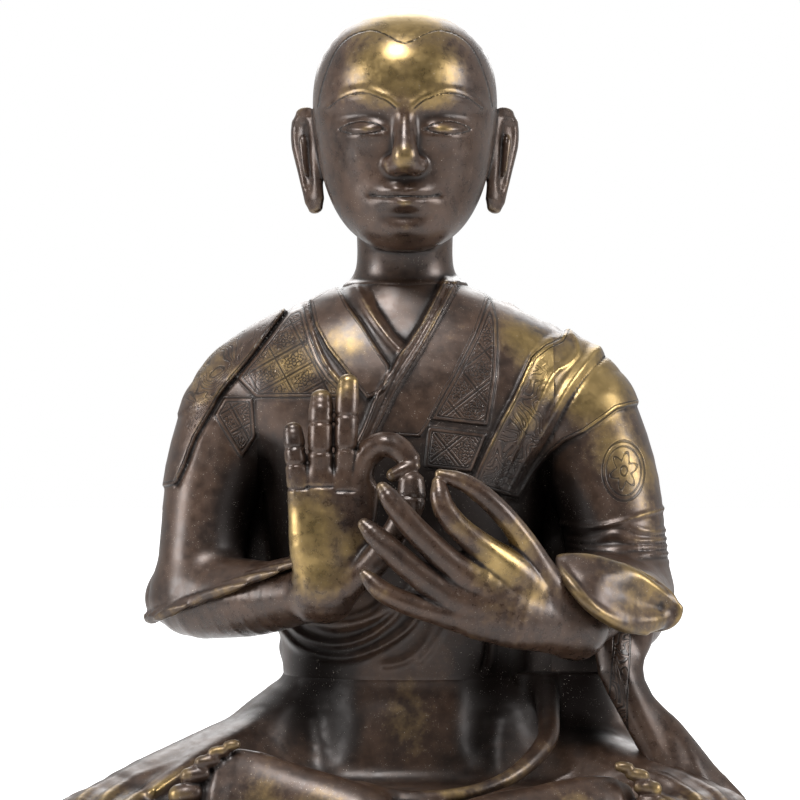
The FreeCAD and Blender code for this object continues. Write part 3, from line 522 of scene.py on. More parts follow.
def spread(grid, reach):
    """The mean of the cells round each cell."""
    for axis in range(3):
        pad = [(0, 0)] * 3
        pad[axis] = (reach + 1, reach)
        total = np.cumsum(np.pad(grid, pad, mode="edge"), axis=axis, dtype=np.float64)
        ahead_part = [slice(None)] * 3
        behind_part = [slice(None)] * 3
        ahead_part[axis] = slice(2 * reach + 1, None)
        behind_part[axis] = slice(None, -2 * reach - 1)
        grid = ((total[tuple(ahead_part)] - total[tuple(behind_part)]) / (2 * reach + 1)).astype(np.float32)
    return grid


def read_off(grid, spots):
    """The grid's value at spots that lie between its cells."""
    base = np.clip(np.floor(spots).astype(int), 0, np.array(grid.shape) - 2)
    part = np.clip(spots - base, 0, 1)
    total = np.zeros(len(spots))
    for corner in range(8):
        shift = np.array((corner & 1, corner >> 1 & 1, corner >> 2 & 1))
        weight = np.prod(np.where(shift, part, 1 - part), axis=1)
        i, j, k = (base + shift).T
        total += weight * grid[i, j, k]
    return total


fine_reach = 1.6 * mm
wide_reach = 6.0 * mm
path_steps = 5


def cast(name, wax, uncut=None):
    """Pour the wax model in bronze: its skin as a mesh, with the share of air round each point.

    A model that is cut at a seam gives the uncut one too, so that the seam isn't taken for an edge.
    """
    grid = openvdb.FloatGrid(float(far))
    grid.copyFromArray(wax["gap"])
    spots, quads = grid.convertToQuads(0.0)
    casting = mesh_object(name, wax["low"] + spots * wax["cell"], quads)
    air_cells = np.clip(0.5 + (wax["gap"] if uncut is None else uncut) / wax["cell"], 0, 1)
    share = 0.0
    for reach in (fine_reach, wide_reach):
        cells = max(1, round(reach / wax["cell"] / 2))
        share = share + read_off(spread(spread(air_cells, cells), cells), spots) / 2
    note(casting, "air", share)
    points = np.empty(len(casting.data.vertices) * 3, np.float32)
    casting.data.vertices.foreach_get("co", points)
    return casting, points.reshape(-1, 3)


def run_gap(first, second, start, end):
    """Distance from each spot of a flat picture to a straight run between two points."""
    run = end - start
    share = np.clip(((first - start[0]) * run[0] + (second - start[1]) * run[1]) / run.dot(run), 0, 1)
    return np.hypot(first - start[0] - run[0] * share, second - start[1] - run[1] * share)


def path_gap(first, second, knots):
    """Distance from each spot of a flat picture to a smooth line through some knots."""
    line = smooth_through(np.array(knots) * mm, path_steps)
    nearest = np.full(np.broadcast(first, second).shape, far)
    for start, end in zip(line, line[1:]):
        nearest = np.minimum(nearest, run_gap(first, second, start, end))
    return nearest


def patch_gap(first, second, corners):
    """Distance to the edge of a patch, below zero inside it."""
    corners = np.array(corners) * mm
    nearest = np.full(np.broadcast(first, second).shape, far)
    crossings = np.zeros(nearest.shape, bool)
    for start, end in zip(corners, np.roll(corners, -1, axis=0)):
        nearest = np.minimum(nearest, run_gap(first, second, start, end))
        if start[1] != end[1]:
            run = end - start
            level = (start[1] > second) != (end[1] > second)
            crossings ^= level & (first < run[0] * (second - start[1]) / run[1] + start[0])
    return np.where(crossings, -nearest, nearest)


def fade(values, low, high):
    """Nought below the low end, one above the high end, smooth between."""
    share = np.clip((values - low) / (high - low), 0, 1)
    return share * share * (3 - 2 * share)


def ridge(gap, width):
    """A soft ridge along a line, one on the line itself."""
    return np.exp(-(gap / width) ** 2)


hip_width, hip_depth = 166 * mm, 104 * mm
waist_width, waist_depth = 100 * mm, 80 * mm
robe_width, robe_depth = 250 * mm, 172 * mm
knee_spread, knee_forward = 242 * mm, 70 * mm
thigh_thickness, knee_thickness, shin_thickness, shin_forward = 56 * mm, 50 * mm, 36 * mm, 108 * mm
foot_length, foot_width, foot_thickness = 69 * mm, 29 * mm, 17 * mm
hip_shares = ((-0.16, 0.94, 0.96), (0.0, 0.94, 0.96), (0.25, 1.0, 1.0), (0.55, 0.92, 0.95), (0.8, 0.8, 0.86),
              (0.92, 0.68, 0.79), (1.0, 0.602, 0.769), (1.16, 0.602, 0.769))
robe_shares = ((-0.16, 1.0, 1.0), (0.0, 1.0, 1.0), (0.22, 0.98, 0.98), (0.4, 0.82, 0.86), (0.52, 0.6, 0.66))
hollow_shares = ((0.0, 0.2, 0.2), (0.1, 0.6, 0.6), (0.3, 0.92, 0.92), (0.5, 1.0, 1.0), (0.7, 0.92, 0.92),
                 (0.9, 0.6, 0.6), (1.0, 0.2, 0.2))
thigh_shares = ((0.0, 1.1, 1.1), (0.3, 1.06, 1.04), (0.6, 0.97, 0.96), (0.8, 0.86, 0.82), (0.92, 0.7, 0.7),
                (1.0, 0.3, 0.3))
shin_shares = ((0.0, 1.1, 1.15), (0.35, 1.12, 1.15), (0.7, 0.9, 0.95), (1.0, 0.75, 0.8))
foot_shares = ((0.0, 0.5, 0.6), (0.06, 0.8, 0.95), (0.2, 0.88, 1.1), (0.5, 0.86, 1.0), (0.8, 1.06, 0.85),
               (0.94, 0.98, 0.66), (1.0, 0.8, 0.4))
toe_shares = ((0.0, 0.9, 0.9), (0.5, 1.0, 1.0), (1.0, 0.95, 0.9))
ankle_side_shares = {-1: 0.25, 1: 0.1}
ankle_rise_shares = {-1: 0.3, 1: 0.34}
foot_climb_shares = {-1: 0.1, 1: 0.22}

# Toes of the foot on each thigh: across, up, width and half length, in millimetres.
toe_places = {
    -1: ((-66.5, 99.5, 4.4, 1.5), (-71.3, 97, 4.8, 2.2), (-75.8, 93.2, 5.6, 2.6), (-80.5, 88, 7, 2.8),
         (-84, 80.5, 9.5, 2.6)),
    1: ((84, 91, 4.6, 1.8), (89, 88, 5.4, 2.4), (93, 83, 6.6, 2.6), (94.5, 76, 9, 2.6)),
}
lap_cell, seam_room = 1.05 * mm, 13 * mm
body_squareness = 2.2
lap_corner = (lap_low[0] - margin, lap_low[1] - margin, seat_z - seam_room)
lap_wax = wax_block(lap_corner, lap_high + (margin, margin, seam_room), lap_cell)
hips = [(seat_z + lap_rise * high, hip_width * wide / 2, hip_depth * deep / 2,
         spine_y + (hip_depth - waist_depth) * (1 - high) / 4) for high, wide, deep in hip_shares]
robe = [(seat_z + lap_rise * high, robe_width * wide / 2, robe_depth * deep / 2,
         spine_y - (1 - high) * shin_forward * 0.33) for high, wide, deep in robe_shares]
lay_on(lap_wax, *stack(lap_wax, hips, body_squareness), blend=1 * mm)


def hollow_sides(wax):
    """Scrape a soft hollow on each side of the belly, in the lap and in the torso alike."""
    hollow_width, hollow_thickness = waist_width * 0.24, waist_depth * 0.66
    for side in (-1, 1):
        hollow = np.array((side * waist_width * 0.38, spine_y - waist_depth * 0.68, seat_z + lap_rise * 0.82))
        half_high = np.array((0, 0, lap_rise * 0.25))
        joints = (hollow - half_high, hollow, hollow + half_high)
        scraped = limb(wax, joints, hollow_shares, hollow_width, hollow_thickness, (1, 0, 0))
        take_off(wax, *scraped, blend=10 * mm)


hollow_sides(lap_wax)
lay_on(lap_wax, *stack(lap_wax, robe), blend=8 * mm)
shin_y = spine_y - shin_forward
ankles = {}
for side in (-1, 1):
    hip_joint = np.array((side * waist_width * 0.4, spine_y, seat_z + lap_rise * 0.55))
    knee = np.array((side * knee_spread / 2, spine_y - knee_forward, seat_z + knee_thickness * 0.4))
    middle = (hip_joint + knee) / 2
    beyond = knee + heading(middle, knee) * knee_thickness * 0.42
    lay_limb(lap_wax, (hip_joint, middle, knee, beyond), thigh_shares, thigh_thickness, thigh_thickness,
             (1, 0, 0), blend=9 * mm)
    ankles[side] = np.array((-side * foot_length * ankle_side_shares[side], shin_y,
                             seat_z + lap_rise * ankle_rise_shares[side]))
    calf = np.array((side * knee_spread * 0.26, shin_y, seat_z + shin_thickness * 0.5))
    lay_limb(lap_wax, (knee, calf, ankles[side]), shin_shares, shin_thickness, shin_thickness, (0, -1, 0),
             blend=7 * mm)

# The robe's folds run in rings round a point on each knee, and sway a little.
ring_x, ring_y, ring_stretch = 74 * mm, 66 * mm, 1.3
ring_height, ring_dip, rings_per_mm, sway = 1.0 * mm, -0.4, 0.62, 1.6
_, x, y, z = whole(lap_wax)
for side in (-1, 1):
    from_knee = np.hypot(x - side * ring_x, (y + ring_y) * ring_stretch)
    swing = np.sin(from_knee / mm * rings_per_mm + sway * np.sin(y / mm * 0.05) + side)
    fold_share = fade(side * x, 6 * mm, 26 * mm) * fade(-y, 26 * mm, 52 * mm)
    fold_share = fold_share * fade(from_knee, 8 * mm, 26 * mm)
    lap_wax["gap"] -= (ring_height * fold_share * np.maximum(swing, ring_dip)).astype(np.float32)
soles = []
sole_side = np.array((0, 0.35, 1))
for side in (-1, 1):
    heel = ankles[side] + (0, 0, lap_rise * 0.06)
    toes = heel + (-side * foot_length, foot_length * 0.26, foot_length * foot_climb_shares[side])
    instep = (heel + toes) / 2 + (0, 0, foot_thickness * 0.15)
    lay_limb(lap_wax, (heel, instep, toes), foot_shares, foot_width, foot_thickness, sole_side,
             blend=1.5 * mm)
    onward = heading(instep, toes)
    crosswise = sole_side - onward * sole_side.dot(onward)
    crosswise /= np.linalg.norm(crosswise)
    for across, high, wide, long in toe_places[-side]:
        middle = np.array((across, toes[1] / mm - 3, high)) * mm
        half = np.array((side * 0.98, 0.1, 0.14)) * long * mm
        lay_limb(lap_wax, (middle + half, middle, middle - half), toe_shares, wide * mm, wide * mm * 1.1,
                 crosswise, blend=0.3 * mm)
    soles.append((heel, toes))

# The robe's rolled rim over the thighs, and its cloth at the hip, from one end to the other in millimetres.
robe_rim = ((-25, -63, 84), (-18, -70, 85), (-8, -73, 83), (6, -73, 81.5), (22, -69, 82.5), (37, -61, 86),
            (48, -49, 92), (56, -34, 100), (57, -20, 109), (57, -6, 116), (56, 8, 121), (55, 20, 124))
rim_shares = ((0.0, 0.3, 0.3), (0.15, 0.6, 0.6), (0.35, 0.6, 0.6), (0.6, 1.0, 1.0), (0.8, 1.2, 1.2),
              (1.0, 1.2, 1.2))
hanging_cloth = np.array(((60, 14, 128), (66, 8, 108), (74, 0, 84))) * mm
even_shares = ((0, 1, 1), (1, 1, 1))
thigh_fold = np.array(((-60, 2, 101), (-80, -26, 91), (-98, -50, 80))) * mm
fold_shares = ((0.0, 0.3, 0.3), (0.3, 1.0, 0.8), (0.7, 1.0, 0.8), (1.0, 0.3, 0.3))
sunk_rim = (np.array(robe_rim) + (0, 3.5, -1.5)) * mm
robe_rim_width, cloth_thickness, hip_cloth_width = 8 * mm, 10 * mm, 40 * mm
fold_width, fold_thickness = 10 * mm, 7 * mm
lay_limb(lap_wax, sunk_rim, rim_shares, robe_rim_width, robe_rim_width, (0, 1, 0.6), blend=8 * mm)
lay_limb(lap_wax, hanging_cloth, even_shares, hip_cloth_width, cloth_thickness, (1, 0, 0), blend=5 * mm)
lay_limb(lap_wax, thigh_fold, fold_shares, fold_width, fold_thickness, (0, 1, 0), blend=7 * mm)

# A casting runs on past its seam with the next one, sunk a little, so that no gap shows between them.
seam = 1.4 * mm
sink = 0.15 * mm
uncut_lap = lap_wax["gap"].copy()
lap_wax["gap"] = np.maximum(lap_wax["gap"] + sink * fade(z, waist_z, waist_z + seam / 2),
                            np.maximum(seat_z - z, z - waist_z - seam))
lap_cast, points = cast("lap_casting", lap_wax, uncut_lap)
belly_rub = (0, -20, 106, 20, 0.4)
# Painted shade at the waist: dark patches where the belly sinks between the thighs and the hanging cloth.
waist_painted_shade = [(-38, -8, 120, 18, -1), (39, -8, 120, 18, -1), (67, 6, 122, 17, -1)]
lap_rubs = [(-112, -60, 76, 22, 0.5), (108, -60, 74, 20, 0.4), belly_rub]
sole_shares, sole_reach, sole_strength = (0.05, 0.35, 0.7), 14, 0.4
for heel, toes in soles:
    for share in sole_shares:
        spot = (heel + (toes - heel) * share) / mm + (0, -8, 2)
        lap_rubs.append((*spot, sole_reach, sole_strength))
# Painted shade in the deep hollows beside the belly, next to the hanging cloth, at the left hip and below the
# belly.
lap_painted_shade = [(-30, -22, 101, 13, -1), (32, -24, 99, 13, -1), (70, -8, 106, 13, -1),
            (-66, 0, 112, 14, -0.4), (0, -40, 84, 9, -0.4)]
note(lap_cast, "rubbed_and_shade", blobs(points, lap_rubs + lap_painted_shade + waist_painted_shade))
robe_bronze = bronze("robe_bronze", patina_dark, patina_brown, worn_gold, polish=0.34)
lap_cast.data.materials.append(robe_bronze)
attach(lap_cast, "root")
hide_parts("lap")

# Torso: chest and shoulders in one hollow bronze casting, with the crossed collars, the brocade panels of
# the patched vest and the folds of the shawl modelled in the wax and then chased. The two sleeves are
# castings of their own, plugged in at the armholes, but the wax of all three was modelled as one.
armhole_x, _, neck_z = np.array(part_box("torso")[1])
torso_rise = neck_z - waist_z
torso_width, torso_depth, neck_width = 160 * mm, 86 * mm, 43 * mm
shoulder_spread, shoulder_drop, elbow_drop, elbow_forward = 136 * mm, 42 * mm, 126 * mm, 16 * mm
elbow_sides = {-1: 84 * mm, 1: 88 * mm}
sleeve_widths = {-1: 36 * mm, 1: 42 * mm}
torso_shares = ((0.09, 0.64, 0.94), (0.25, 0.675, 0.955), (0.41, 0.71, 0.98), (0.54, 0.73, 1.0),
                (0.645, 0.93, 1.0), (0.75, 1.0, 0.965), (0.82, 0.94, 0.9), (0.873, 0.84, 0.83),
                (0.918, 0.69, 0.75), (0.962, 0.51, 0.64))
sleeve_shares = ((0.0, 0.6, 0.6), (0.06, 0.94, 0.94), (0.16, 1.1, 1.1), (0.35, 1.08, 1.08),
                 (0.62, 0.98, 1.02), (0.86, 0.96, 0.98), (0.96, 0.8, 0.84), (1.0, 0.45, 0.5))
robe_cell, collar_rise = 0.85 * mm, 5 * mm
robe_right, robe_left, robe_front, robe_back = -114 * mm, 118 * mm, -64 * mm, 76 * mm
robe_wax = wax_block(
    (robe_right, robe_front, waist_z - seam_room), (robe_left, robe_back, neck_z + seam_room), robe_cell)
torso_stations = [(waist_z - seam_room, waist_width / 2, waist_depth / 2, spine_y),
                  (waist_z, waist_width / 2, waist_depth / 2, spine_y)]
for high, wide, deep in torso_shares:
    torso_stations.append((waist_z + torso_rise * high, torso_width * wide / 2, torso_depth * deep / 2,
                           spine_y))
torso_stations.append((neck_z, neck_width * 0.6, neck_width * 0.55, spine_y))
torso_stations.append((neck_z + collar_rise, neck_width * 0.52, neck_width * 0.5, spine_y))
torso_stations.append((neck_z + seam_room, neck_width * 0.48, neck_width * 0.48, spine_y))
lay_on(robe_wax, *stack(robe_wax, torso_stations, body_squareness), blend=1 * mm)
hollow_sides(robe_wax)
elbows = {}
for side in (-1, 1):
    width = sleeve_widths[side]
    shoulder = np.array((side * shoulder_spread / 2, spine_y, neck_z - shoulder_drop))
    elbow = np.array((side * elbow_sides[side], spine_y - elbow_forward, neck_z - elbow_drop))
    if side > 0:
        elbow[2] += width * 0.1
    elbows[side] = elbow
    middle = (shoulder + elbow) / 2 + (side * width * 0.1, 0, 0)
    top = shoulder + (0, 0, width * 0.1)
    bottom = elbow + heading(middle, elbow) * width * 0.35
    lay_limb(robe_wax, (top, shoulder, middle, elbow, bottom), sleeve_shares, width, width * 1.1, (1, 0, 0),
             blend=7 * mm)

# Cloth that hangs from the armpits behind both arms: its lower end is given in millimetres up and out.
hanging_width, hanging_thickness = 34 * mm, 9 * mm
hanging_shares = ((0, 0.8, 0.8), (0.5, 0.9, 1), (1, 1.1, 1))
for side, low_end, out in ((-1, 152, 60), (1, waist_z / mm - 14, 69)):
    hanging = np.array(((side * 58, spine_y / mm + 5, 208), (side * 60, spine_y / mm + 3, 176),
                        (side * out, 17, low_end))) * mm
    lay_limb(robe_wax, hanging, hanging_shares, hanging_width, hanging_thickness, (1, 0, 0), blend=5 * mm)
_, x, y, z = whole(robe_wax)
flat_x, flat_z = x[:, :, 0], z[0]
front_fade = -1 * mm, 7 * mm
front = fade(spine_y - y, *front_fade)
back = 1 - front

# Outlines on the chest, seen from the front, in millimetres across and up.
outer_shawl = ((-49, 267), (-54, 260), (-61, 250), (-68, 241.5), (-73, 235.5), (-78, 227), (-84, 217),
               (-88, 206.5), (-92, 198), (-130, 190), (-130, 300), (-44, 300))
outer_hem = ((-73, 235.5), (-77, 232.5), (-82.5, 230), (-88, 228), (-98, 223), (-130, 215), (-130, 300),
             (-44, 300), (-49, 267), (-61, 250))
vest_patch = ((-47, 268), (-41.5, 270), (-39.5, 263), (-37.5, 256), (-34.5, 248.5), (-30, 241.5),
              (-26, 237.5), (-21, 233), (-60, 232.8), (-68, 241), (-60.4, 250))
vest_piping = ((-40.2, 271), (-38.4, 263.5), (-36.2, 256.5), (-33, 249), (-28.5, 242), (-20, 233))
small_patch = ((-73, 233), (-61, 233), (-60, 217), (-66, 208), (-77, 226))
lapel = ((-39, 273), (-36, 261.5), (-31, 252.5), (-25, 245), (-15, 232), (-8, 236), (-5.8, 245.4), (-11, 253),
         (-16.5, 262), (-22.5, 270), (-28, 280))
neck_roll = ((-20, 278), (-13.4, 266.5), (-7, 257.6), (-2, 252))
neck_opening = ((-17, 284), (-11.5, 269), (-4.5, 258.5), (0.6, 254.4), (6, 262.6), (17, 284))
collar_patch = ((18, 286), (6, 262.6), (0.6, 254.4), (-2.6, 250), (-7, 241.5), (-13, 231.5), (-16.6, 222),
                (-23, 209), (-17, 205), (-12, 218), (-9, 224.5), (-4, 235), (1.2, 243.5), (6, 251.2),
                (25, 286))
collar_line = ((21.5, 286), (6, 257.2), (-3.5, 241.8), (-12, 224), (-19, 208))
left_lapel = ((25, 286), (6, 251.2), (-4, 235), (-12, 218), (6, 217), (9.3, 221.7), (14.6, 232.3),
              (20.6, 243), (28, 257.5), (34.5, 274))
strip_patch = ((34.8, 274), (37.2, 264), (37.2, 252), (36.5, 241.6), (34.5, 228.3), (33.2, 221.5),
               (9.8, 224.2), (14.6, 232.3), (20.6, 243), (28, 257.5))
strip_cell = ((32.9, 218.5), (26.6, 203), (7.5, 205), (9.2, 221.4))
shawl_patch = ((66, 262), (63, 257), (56.5, 254), (51, 249.5), (47, 241.5), (43.2, 233.5), (38.5, 225),
               (34.5, 217), (30.6, 208.5), (26, 198), (45.8, 192), (52.4, 202), (59, 210.4), (64.4, 215),
               (72.3, 219), (79, 223.7), (85.6, 228.3), (91, 229.6), (130, 236), (130, 300), (56, 300))
shawl_folds = (((66, 258.5), (58, 256.2), (52.6, 251), (48.5, 242), (44.6, 233), (39.5, 223.5), (35.5, 215.5),
                (31, 206), (28, 198)),
               ((58, 268), (64, 264.5), (68.5, 259), (70.5, 252.5), (66, 247), (60.5, 243.5), (56.5, 237.5),
                (52.4, 228.5), (48, 220.5), (43, 209), (38, 198)))
shawl_roll = ((79, 253), (76.3, 251), (71.7, 245.6), (65.7, 237.6), (60.4, 228.3), (55, 218.4), (49, 209),
              (43, 199), (39, 190))
roll_groove = ((82, 250), (75, 243.5), (69, 235.8), (63.6, 226.5), (58.3, 216.6), (52.2, 207), (46.4, 197))
band_top = ((62, 181.5), (79, 181.5), (96, 186), (106, 188))
belly_folds = (((-52, 150), (-44, 138.5), (-30, 134), (-16, 137), (-4, 146), (2, 156)),
               ((-47, 156), (-38, 146.5), (-26, 143.5), (-14, 146.5), (-5, 154)),
               ((-52, 140), (-42, 131.5), (-27, 128.5), (-13, 132), (0, 140), (8, 150)),
               ((-56, 158), (-46, 148), (-30, 141), (-14, 144), (-2, 152)))
faint_folds = (((6, 128), (11, 134), (17, 143)), ((-8, 126), (0, 128), (7, 134), (14, 146)))
hip_groove = ((33, 138), (32, 128), (28, 116), (22, 106))
hip_edge = ((36, 138), (35, 127), (31, 115), (25, 105))
relief = np.zeros(np.broadcast(flat_x, flat_z).shape)


def raised(patch, height, edge=1.0):
    """A patch of cloth that stands out by a height, with soft edges, in millimetres."""
    return height * mm * fade(-patch_gap(flat_x, flat_z, patch), -edge * mm, edge * mm)


def corded(line, height, width):
    """A cord or fold along a line, its height and half width in millimetres."""
    return height * mm * ridge(path_gap(flat_x, flat_z, line), width * mm)


relief -= raised(neck_opening, 2.6) * fade(-flat_z, -281 * mm, -264 * mm)
relief += corded(neck_roll, 1.6, 1.8)
relief += raised(lapel, 1.9, edge=0.7)
relief += corded(vest_piping, 1.3, 0.9)
relief += raised(vest_patch, 0.9, edge=0.6) + raised(small_patch, 0.8, edge=0.6)
relief += raised(left_lapel, 1.0, edge=0.8)
relief += raised(collar_patch, 2.8, edge=0.7)
relief -= corded(collar_line, 1.0, 0.8)
relief += raised(strip_patch, 1.0, edge=0.6) + raised(strip_cell, 1.0, edge=0.6)
relief += raised(shawl_patch, 1.5, edge=1.0)
for fold in shawl_folds:
    relief += corded(fold, 1.1, 1.2)
relief += corded(shawl_roll, 1.7, 1.9) - corded(roll_groove, 0.8, 0.8)
relief += raised(outer_shawl, 1.1, edge=0.9) + raised(outer_hem, 0.7, edge=0.7)
relief -= corded(outer_shawl[:9], 1.4, 1.0)
for fold in belly_folds:
    relief += corded(fold, 1.7, 1.7)
for fold in faint_folds:
    relief += corded(fold, 0.7, 1.6)
relief -= corded(hip_groove, 2.0, 1.5)
relief += corded(hip_edge, 1.2, 1.6)
relief += corded(band_top, 1.0, 0.9)

# Above the left elbow the cloth is crimped in a band, and the crimps bend round one spot.
crimp_height, crimps_per_mm, knot_bend, knot_lobes = 0.45 * mm, 1.5, 3.0, 3
knot_x, knot_z, knot_stretch, knot_reach = 84 * mm, 173 * mm, 0.55, 9 * mm
band_side, band_foot, band_head = (62 * mm, 70 * mm), (163 * mm, 168 * mm), (-183 * mm, -180 * mm)
band_share = fade(-flat_z, *band_head) * fade(flat_z, *band_foot) * fade(flat_x, *band_side)
knot_across, knot_up = (flat_x - knot_x) * knot_stretch, flat_z - knot_z
knot_turn = np.arctan2(knot_up, knot_across)
knot_wave = knot_bend * np.sin(knot_turn * knot_lobes) * fade(np.hypot(knot_across, knot_up), 0, knot_reach)
relief += crimp_height * band_share * np.sin(flat_z / mm * crimps_per_mm + knot_wave)
relief *= fade(flat_z, waist_z, waist_z + 7 * mm)
robe_wax["gap"] -= (relief[:, None, :] * front).astype(np.float32)

# The back is covered by the shawl: it hangs from both shoulders in long shallow swags.
swag_height, swag_dip, swags_per_mm = 0.9 * mm, -0.35, 0.36
nape_z, swag_stretch = 285 * mm, 0.85
from_nape = np.hypot(flat_x * swag_stretch, flat_z - nape_z)
swags = swag_height * np.maximum(np.sin(from_nape / mm * swags_per_mm), swag_dip)
swags = swags * fade(from_nape, 18 * mm, 40 * mm)
swags *= fade(110 * mm - np.abs(flat_x) + 0 * flat_z, 16 * mm, 46 * mm)
robe_wax["gap"] -= (swags[:, None, :] * back).astype(np.float32)

uncut_robe = robe_wax["gap"].copy()
tongue = np.maximum(robe_wax["gap"] + sink * fade(np.abs(x), armhole_x - seam / 2, armhole_x),
                    np.abs(x) - armhole_x - seam)
tongue = np.maximum(tongue + sink * fade(-z, -waist_z - seam / 2, -waist_z), waist_z - seam - z)
tongue = np.maximum(tongue + sink * fade(z, neck_z, neck_z + seam / 2), z - neck_z - seam)
robe_wax["gap"] = tongue.astype(np.float32)
torso_cast, points = cast("torso_casting", robe_wax, uncut_robe)
torso_rubs = [belly_rub, (-24, -16, 258, 12, 0.75), (-46, -10, 246, 18, 0.5), (20, -14, 266, 10, 0.45),
              (50, 0, 256, 14, 0.7), (62, 0, 244, 18, 0.9), (48, -10, 222, 12, 0.6), (26, -16, 214, 14, 0.5),
              (-30, -16, 240, 10, 0.4)]
# Painted shade on the chest behind and below the hands, and at both armpits behind the arms.
torso_painted_shade = [(4, -14, 190, 26, -0.9), (-56, 6, 186, 26, -1), (56, 6, 178, 28, -1), (-56, 22, 180, 24, -1),
              (57, 22, 176, 26, -1), (-22, -16, 178, 14, -0.7), (20, -16, 160, 18, -0.7)]
note(torso_cast, "rubbed_and_shade", blobs(points, torso_rubs + torso_painted_shade + waist_painted_shade))
outline_reach = 9


def outline_gaps(*patches):
    """Millimetres to the nearest edge of some patches, as a picture of the front; below zero inside."""
    return np.minimum.reduce([patch_gap(flat_x, flat_z, patch) for patch in patches]) / mm


panel_gaps = outline_gaps(vest_patch, small_patch, strip_patch, strip_cell)
hem_gaps = outline_gaps(collar_patch, lapel, left_lapel)
shawl_gaps = outline_gaps(shawl_patch, outer_shawl)


def on_front(picture, points, wax, middle_y):
    """Read a flat front picture at the points of a casting; the back counts as far outside."""
    spots = (points - wax["low"]) / wax["cell"]
    spots[:, 1] = 0
    grid = np.repeat(np.clip(picture, -outline_reach, outline_reach)[:, None, :], 2, axis=1)
    return np.where(points[:, 1] < middle_y, read_off(grid, spots), outline_reach)


def note_outlines(casting, points):
    """Keep how far each point lies from the edges of the panels, the collars and the shawl."""
    for name, picture in (("panel", panel_gaps), ("hem", hem_gaps), ("shawl", shawl_gaps)):
        note(casting, name, on_front(picture, points, robe_wax, spine_y))


note_outlines(torso_cast, points)


def axis_readings(tree, place):
    """The x, y and z of a place in millimetres."""
    node = tree.nodes.new("ShaderNodeSeparateXYZ")
    tree.links.new(place.socket, node.inputs[0])
    return [Reading(tree, output) * (1 / mm) for output in node.outputs]


def groove(reading, width):
    """One where a reading is near zero, within half a width, and zero beyond."""
    return reading.work("ABSOLUTE").between(width * 0.25, width * 0.6, 1.0, 0.0)


def strongest(first, *others):
    """The highest of several readings."""
    for other in others:
        first = first.work("MAXIMUM", other)
    return first


# The brocade's lines, in millimetres: paired rails, an eye with petals round it, a ring of leaves, beads.
rail_width, inner_gap, inner_width = 0.9, 1.4, 0.6
eye_radius, eye_width = 0.7, 0.7
petal_radius, petal_swell, petal_width, petal_count = 1.9, 0.45, 0.8, 6.0
leaf_radius, leaf_swell, leaf_width, leaf_count = 3.3, 0.5, 0.7, 9.0
bead_waves, bead_start, bead_full = 3.0, 3.6, 4.1


def rosette_lattice(across, up, cell_width, cell_height, lean):
    """Chased lines of a brocade: a leaning lattice of paired lines with a flower in each cell."""
    turned = across * math.cos(lean) + up * math.sin(lean)
    risen = up * math.cos(lean) - across * math.sin(lean)
    column = (turned / cell_width).work("FRACT") - 0.5
    row = (risen / cell_height).work("FRACT") - 0.5
    from_side = (column.work("ABSOLUTE") - 0.5) * cell_width
    from_end = (row.work("ABSOLUTE") - 0.5) * cell_height
    rails = strongest(groove(from_side, rail_width), groove(from_end, rail_width))
    inner_side, inner_end = from_side + inner_gap, from_end + inner_gap
    inner = strongest(groove(inner_side, inner_width), groove(inner_end, inner_width))
    field = inner_side.between(-0.3, 0.0, 1.0, 0.0) * inner_end.between(-0.3, 0.0, 1.0, 0.0)
    away = (column * column * cell_width * cell_width + row * row * cell_height * cell_height).work("SQRT")
    angle = row.work("ARCTAN2", column)
    petals = away - petal_radius - (angle * petal_count).work("SINE") * petal_swell
    flower = strongest(groove(petals, petal_width), groove(away - eye_radius, eye_width))
    curl = away - leaf_radius - (angle * leaf_count).work("SINE") * leaf_swell
    leaves = groove(curl, leaf_width) * field
    beads = ((turned * bead_waves).work("SINE") * (risen * bead_waves).work("SINE")).between(0.05, 0.55)
    scatter = beads * away.between(bead_start, bead_full) * field
    return strongest(rails, inner * 0.6, flower, leaves, scatter * 0.8)


scroll_turns, scroll_width, scroll_start, scroll_end = 18.0, 0.7, 50.0, 60.0
rosette_x, rosette_z, rosette_half_width, rosette_half_height = 88.0, 203.5, 8.8, 12.0


def torso_pattern(tree, place):
    """Brocade in the panels with a paired border, paired lines along the hems, scrolls on the shawl.

    The left upper arm carries a plain six-petalled rosette in two rings.
    """
    x, y, z = axis_readings(tree, place)
    panel, hem, shawl = [kept_note(tree, name) for name in ("panel", "hem", "shawl")]
    on_left = x.between(0.0, 0.5)
    vest_lines = rosette_lattice(x, z, cell_width=12.5, cell_height=9.0, lean=math.radians(29))
    strip_lines = rosette_lattice(x, z, cell_width=12.0, cell_height=10.5, lean=math.radians(38))
    brocade = strongest(strip_lines * on_left, vest_lines * on_left.between(0.0, 1.0, 1.0, 0.0))
    brocade = brocade * panel.between(-2.4, -2.0, 1.0, 0.0)
    borders = strongest(groove(panel, 0.9), groove(panel + 1.7, 0.7), groove(hem, 0.8),
                        groove(hem + 1.4, 0.5) * 0.7, groove(shawl, 0.9), groove(shawl + 1.7, 0.6))
    waves = noise(tree, place, Scale=75.0, Detail=1.0, Distortion=0.6)
    scrolls = groove(((waves * scroll_turns).work("FRACT") - 0.5) * 2.0, scroll_width)
    scrolls = scrolls * shawl.between(-3.2, -2.8, 1.0, 0.0) * x.between(scroll_start, scroll_end, 1.0, 0.0)
    patchy = noise(tree, place, Scale=28.0).between(0.42, 0.48)
    over, up = (x - rosette_x) / rosette_half_width, (z - rosette_z) / rosette_half_height
    away = (over * over + up * up).work("SQRT")
    petals = away - 0.5 - (up.work("ARCTAN2", over) * petal_count).work("SINE") * 0.14
    rings = strongest(groove(away - 1.0, 0.1), groove(away - 0.82, 0.07), groove(away - 0.16, 0.09))
    rosette = strongest(rings, groove(petals, 0.1)) * y.between(20.0, 25.0, 1.0, 0.0)
    return strongest(brocade, borders, scrolls * patchy * 0.8, rosette * 0.9), 0.75


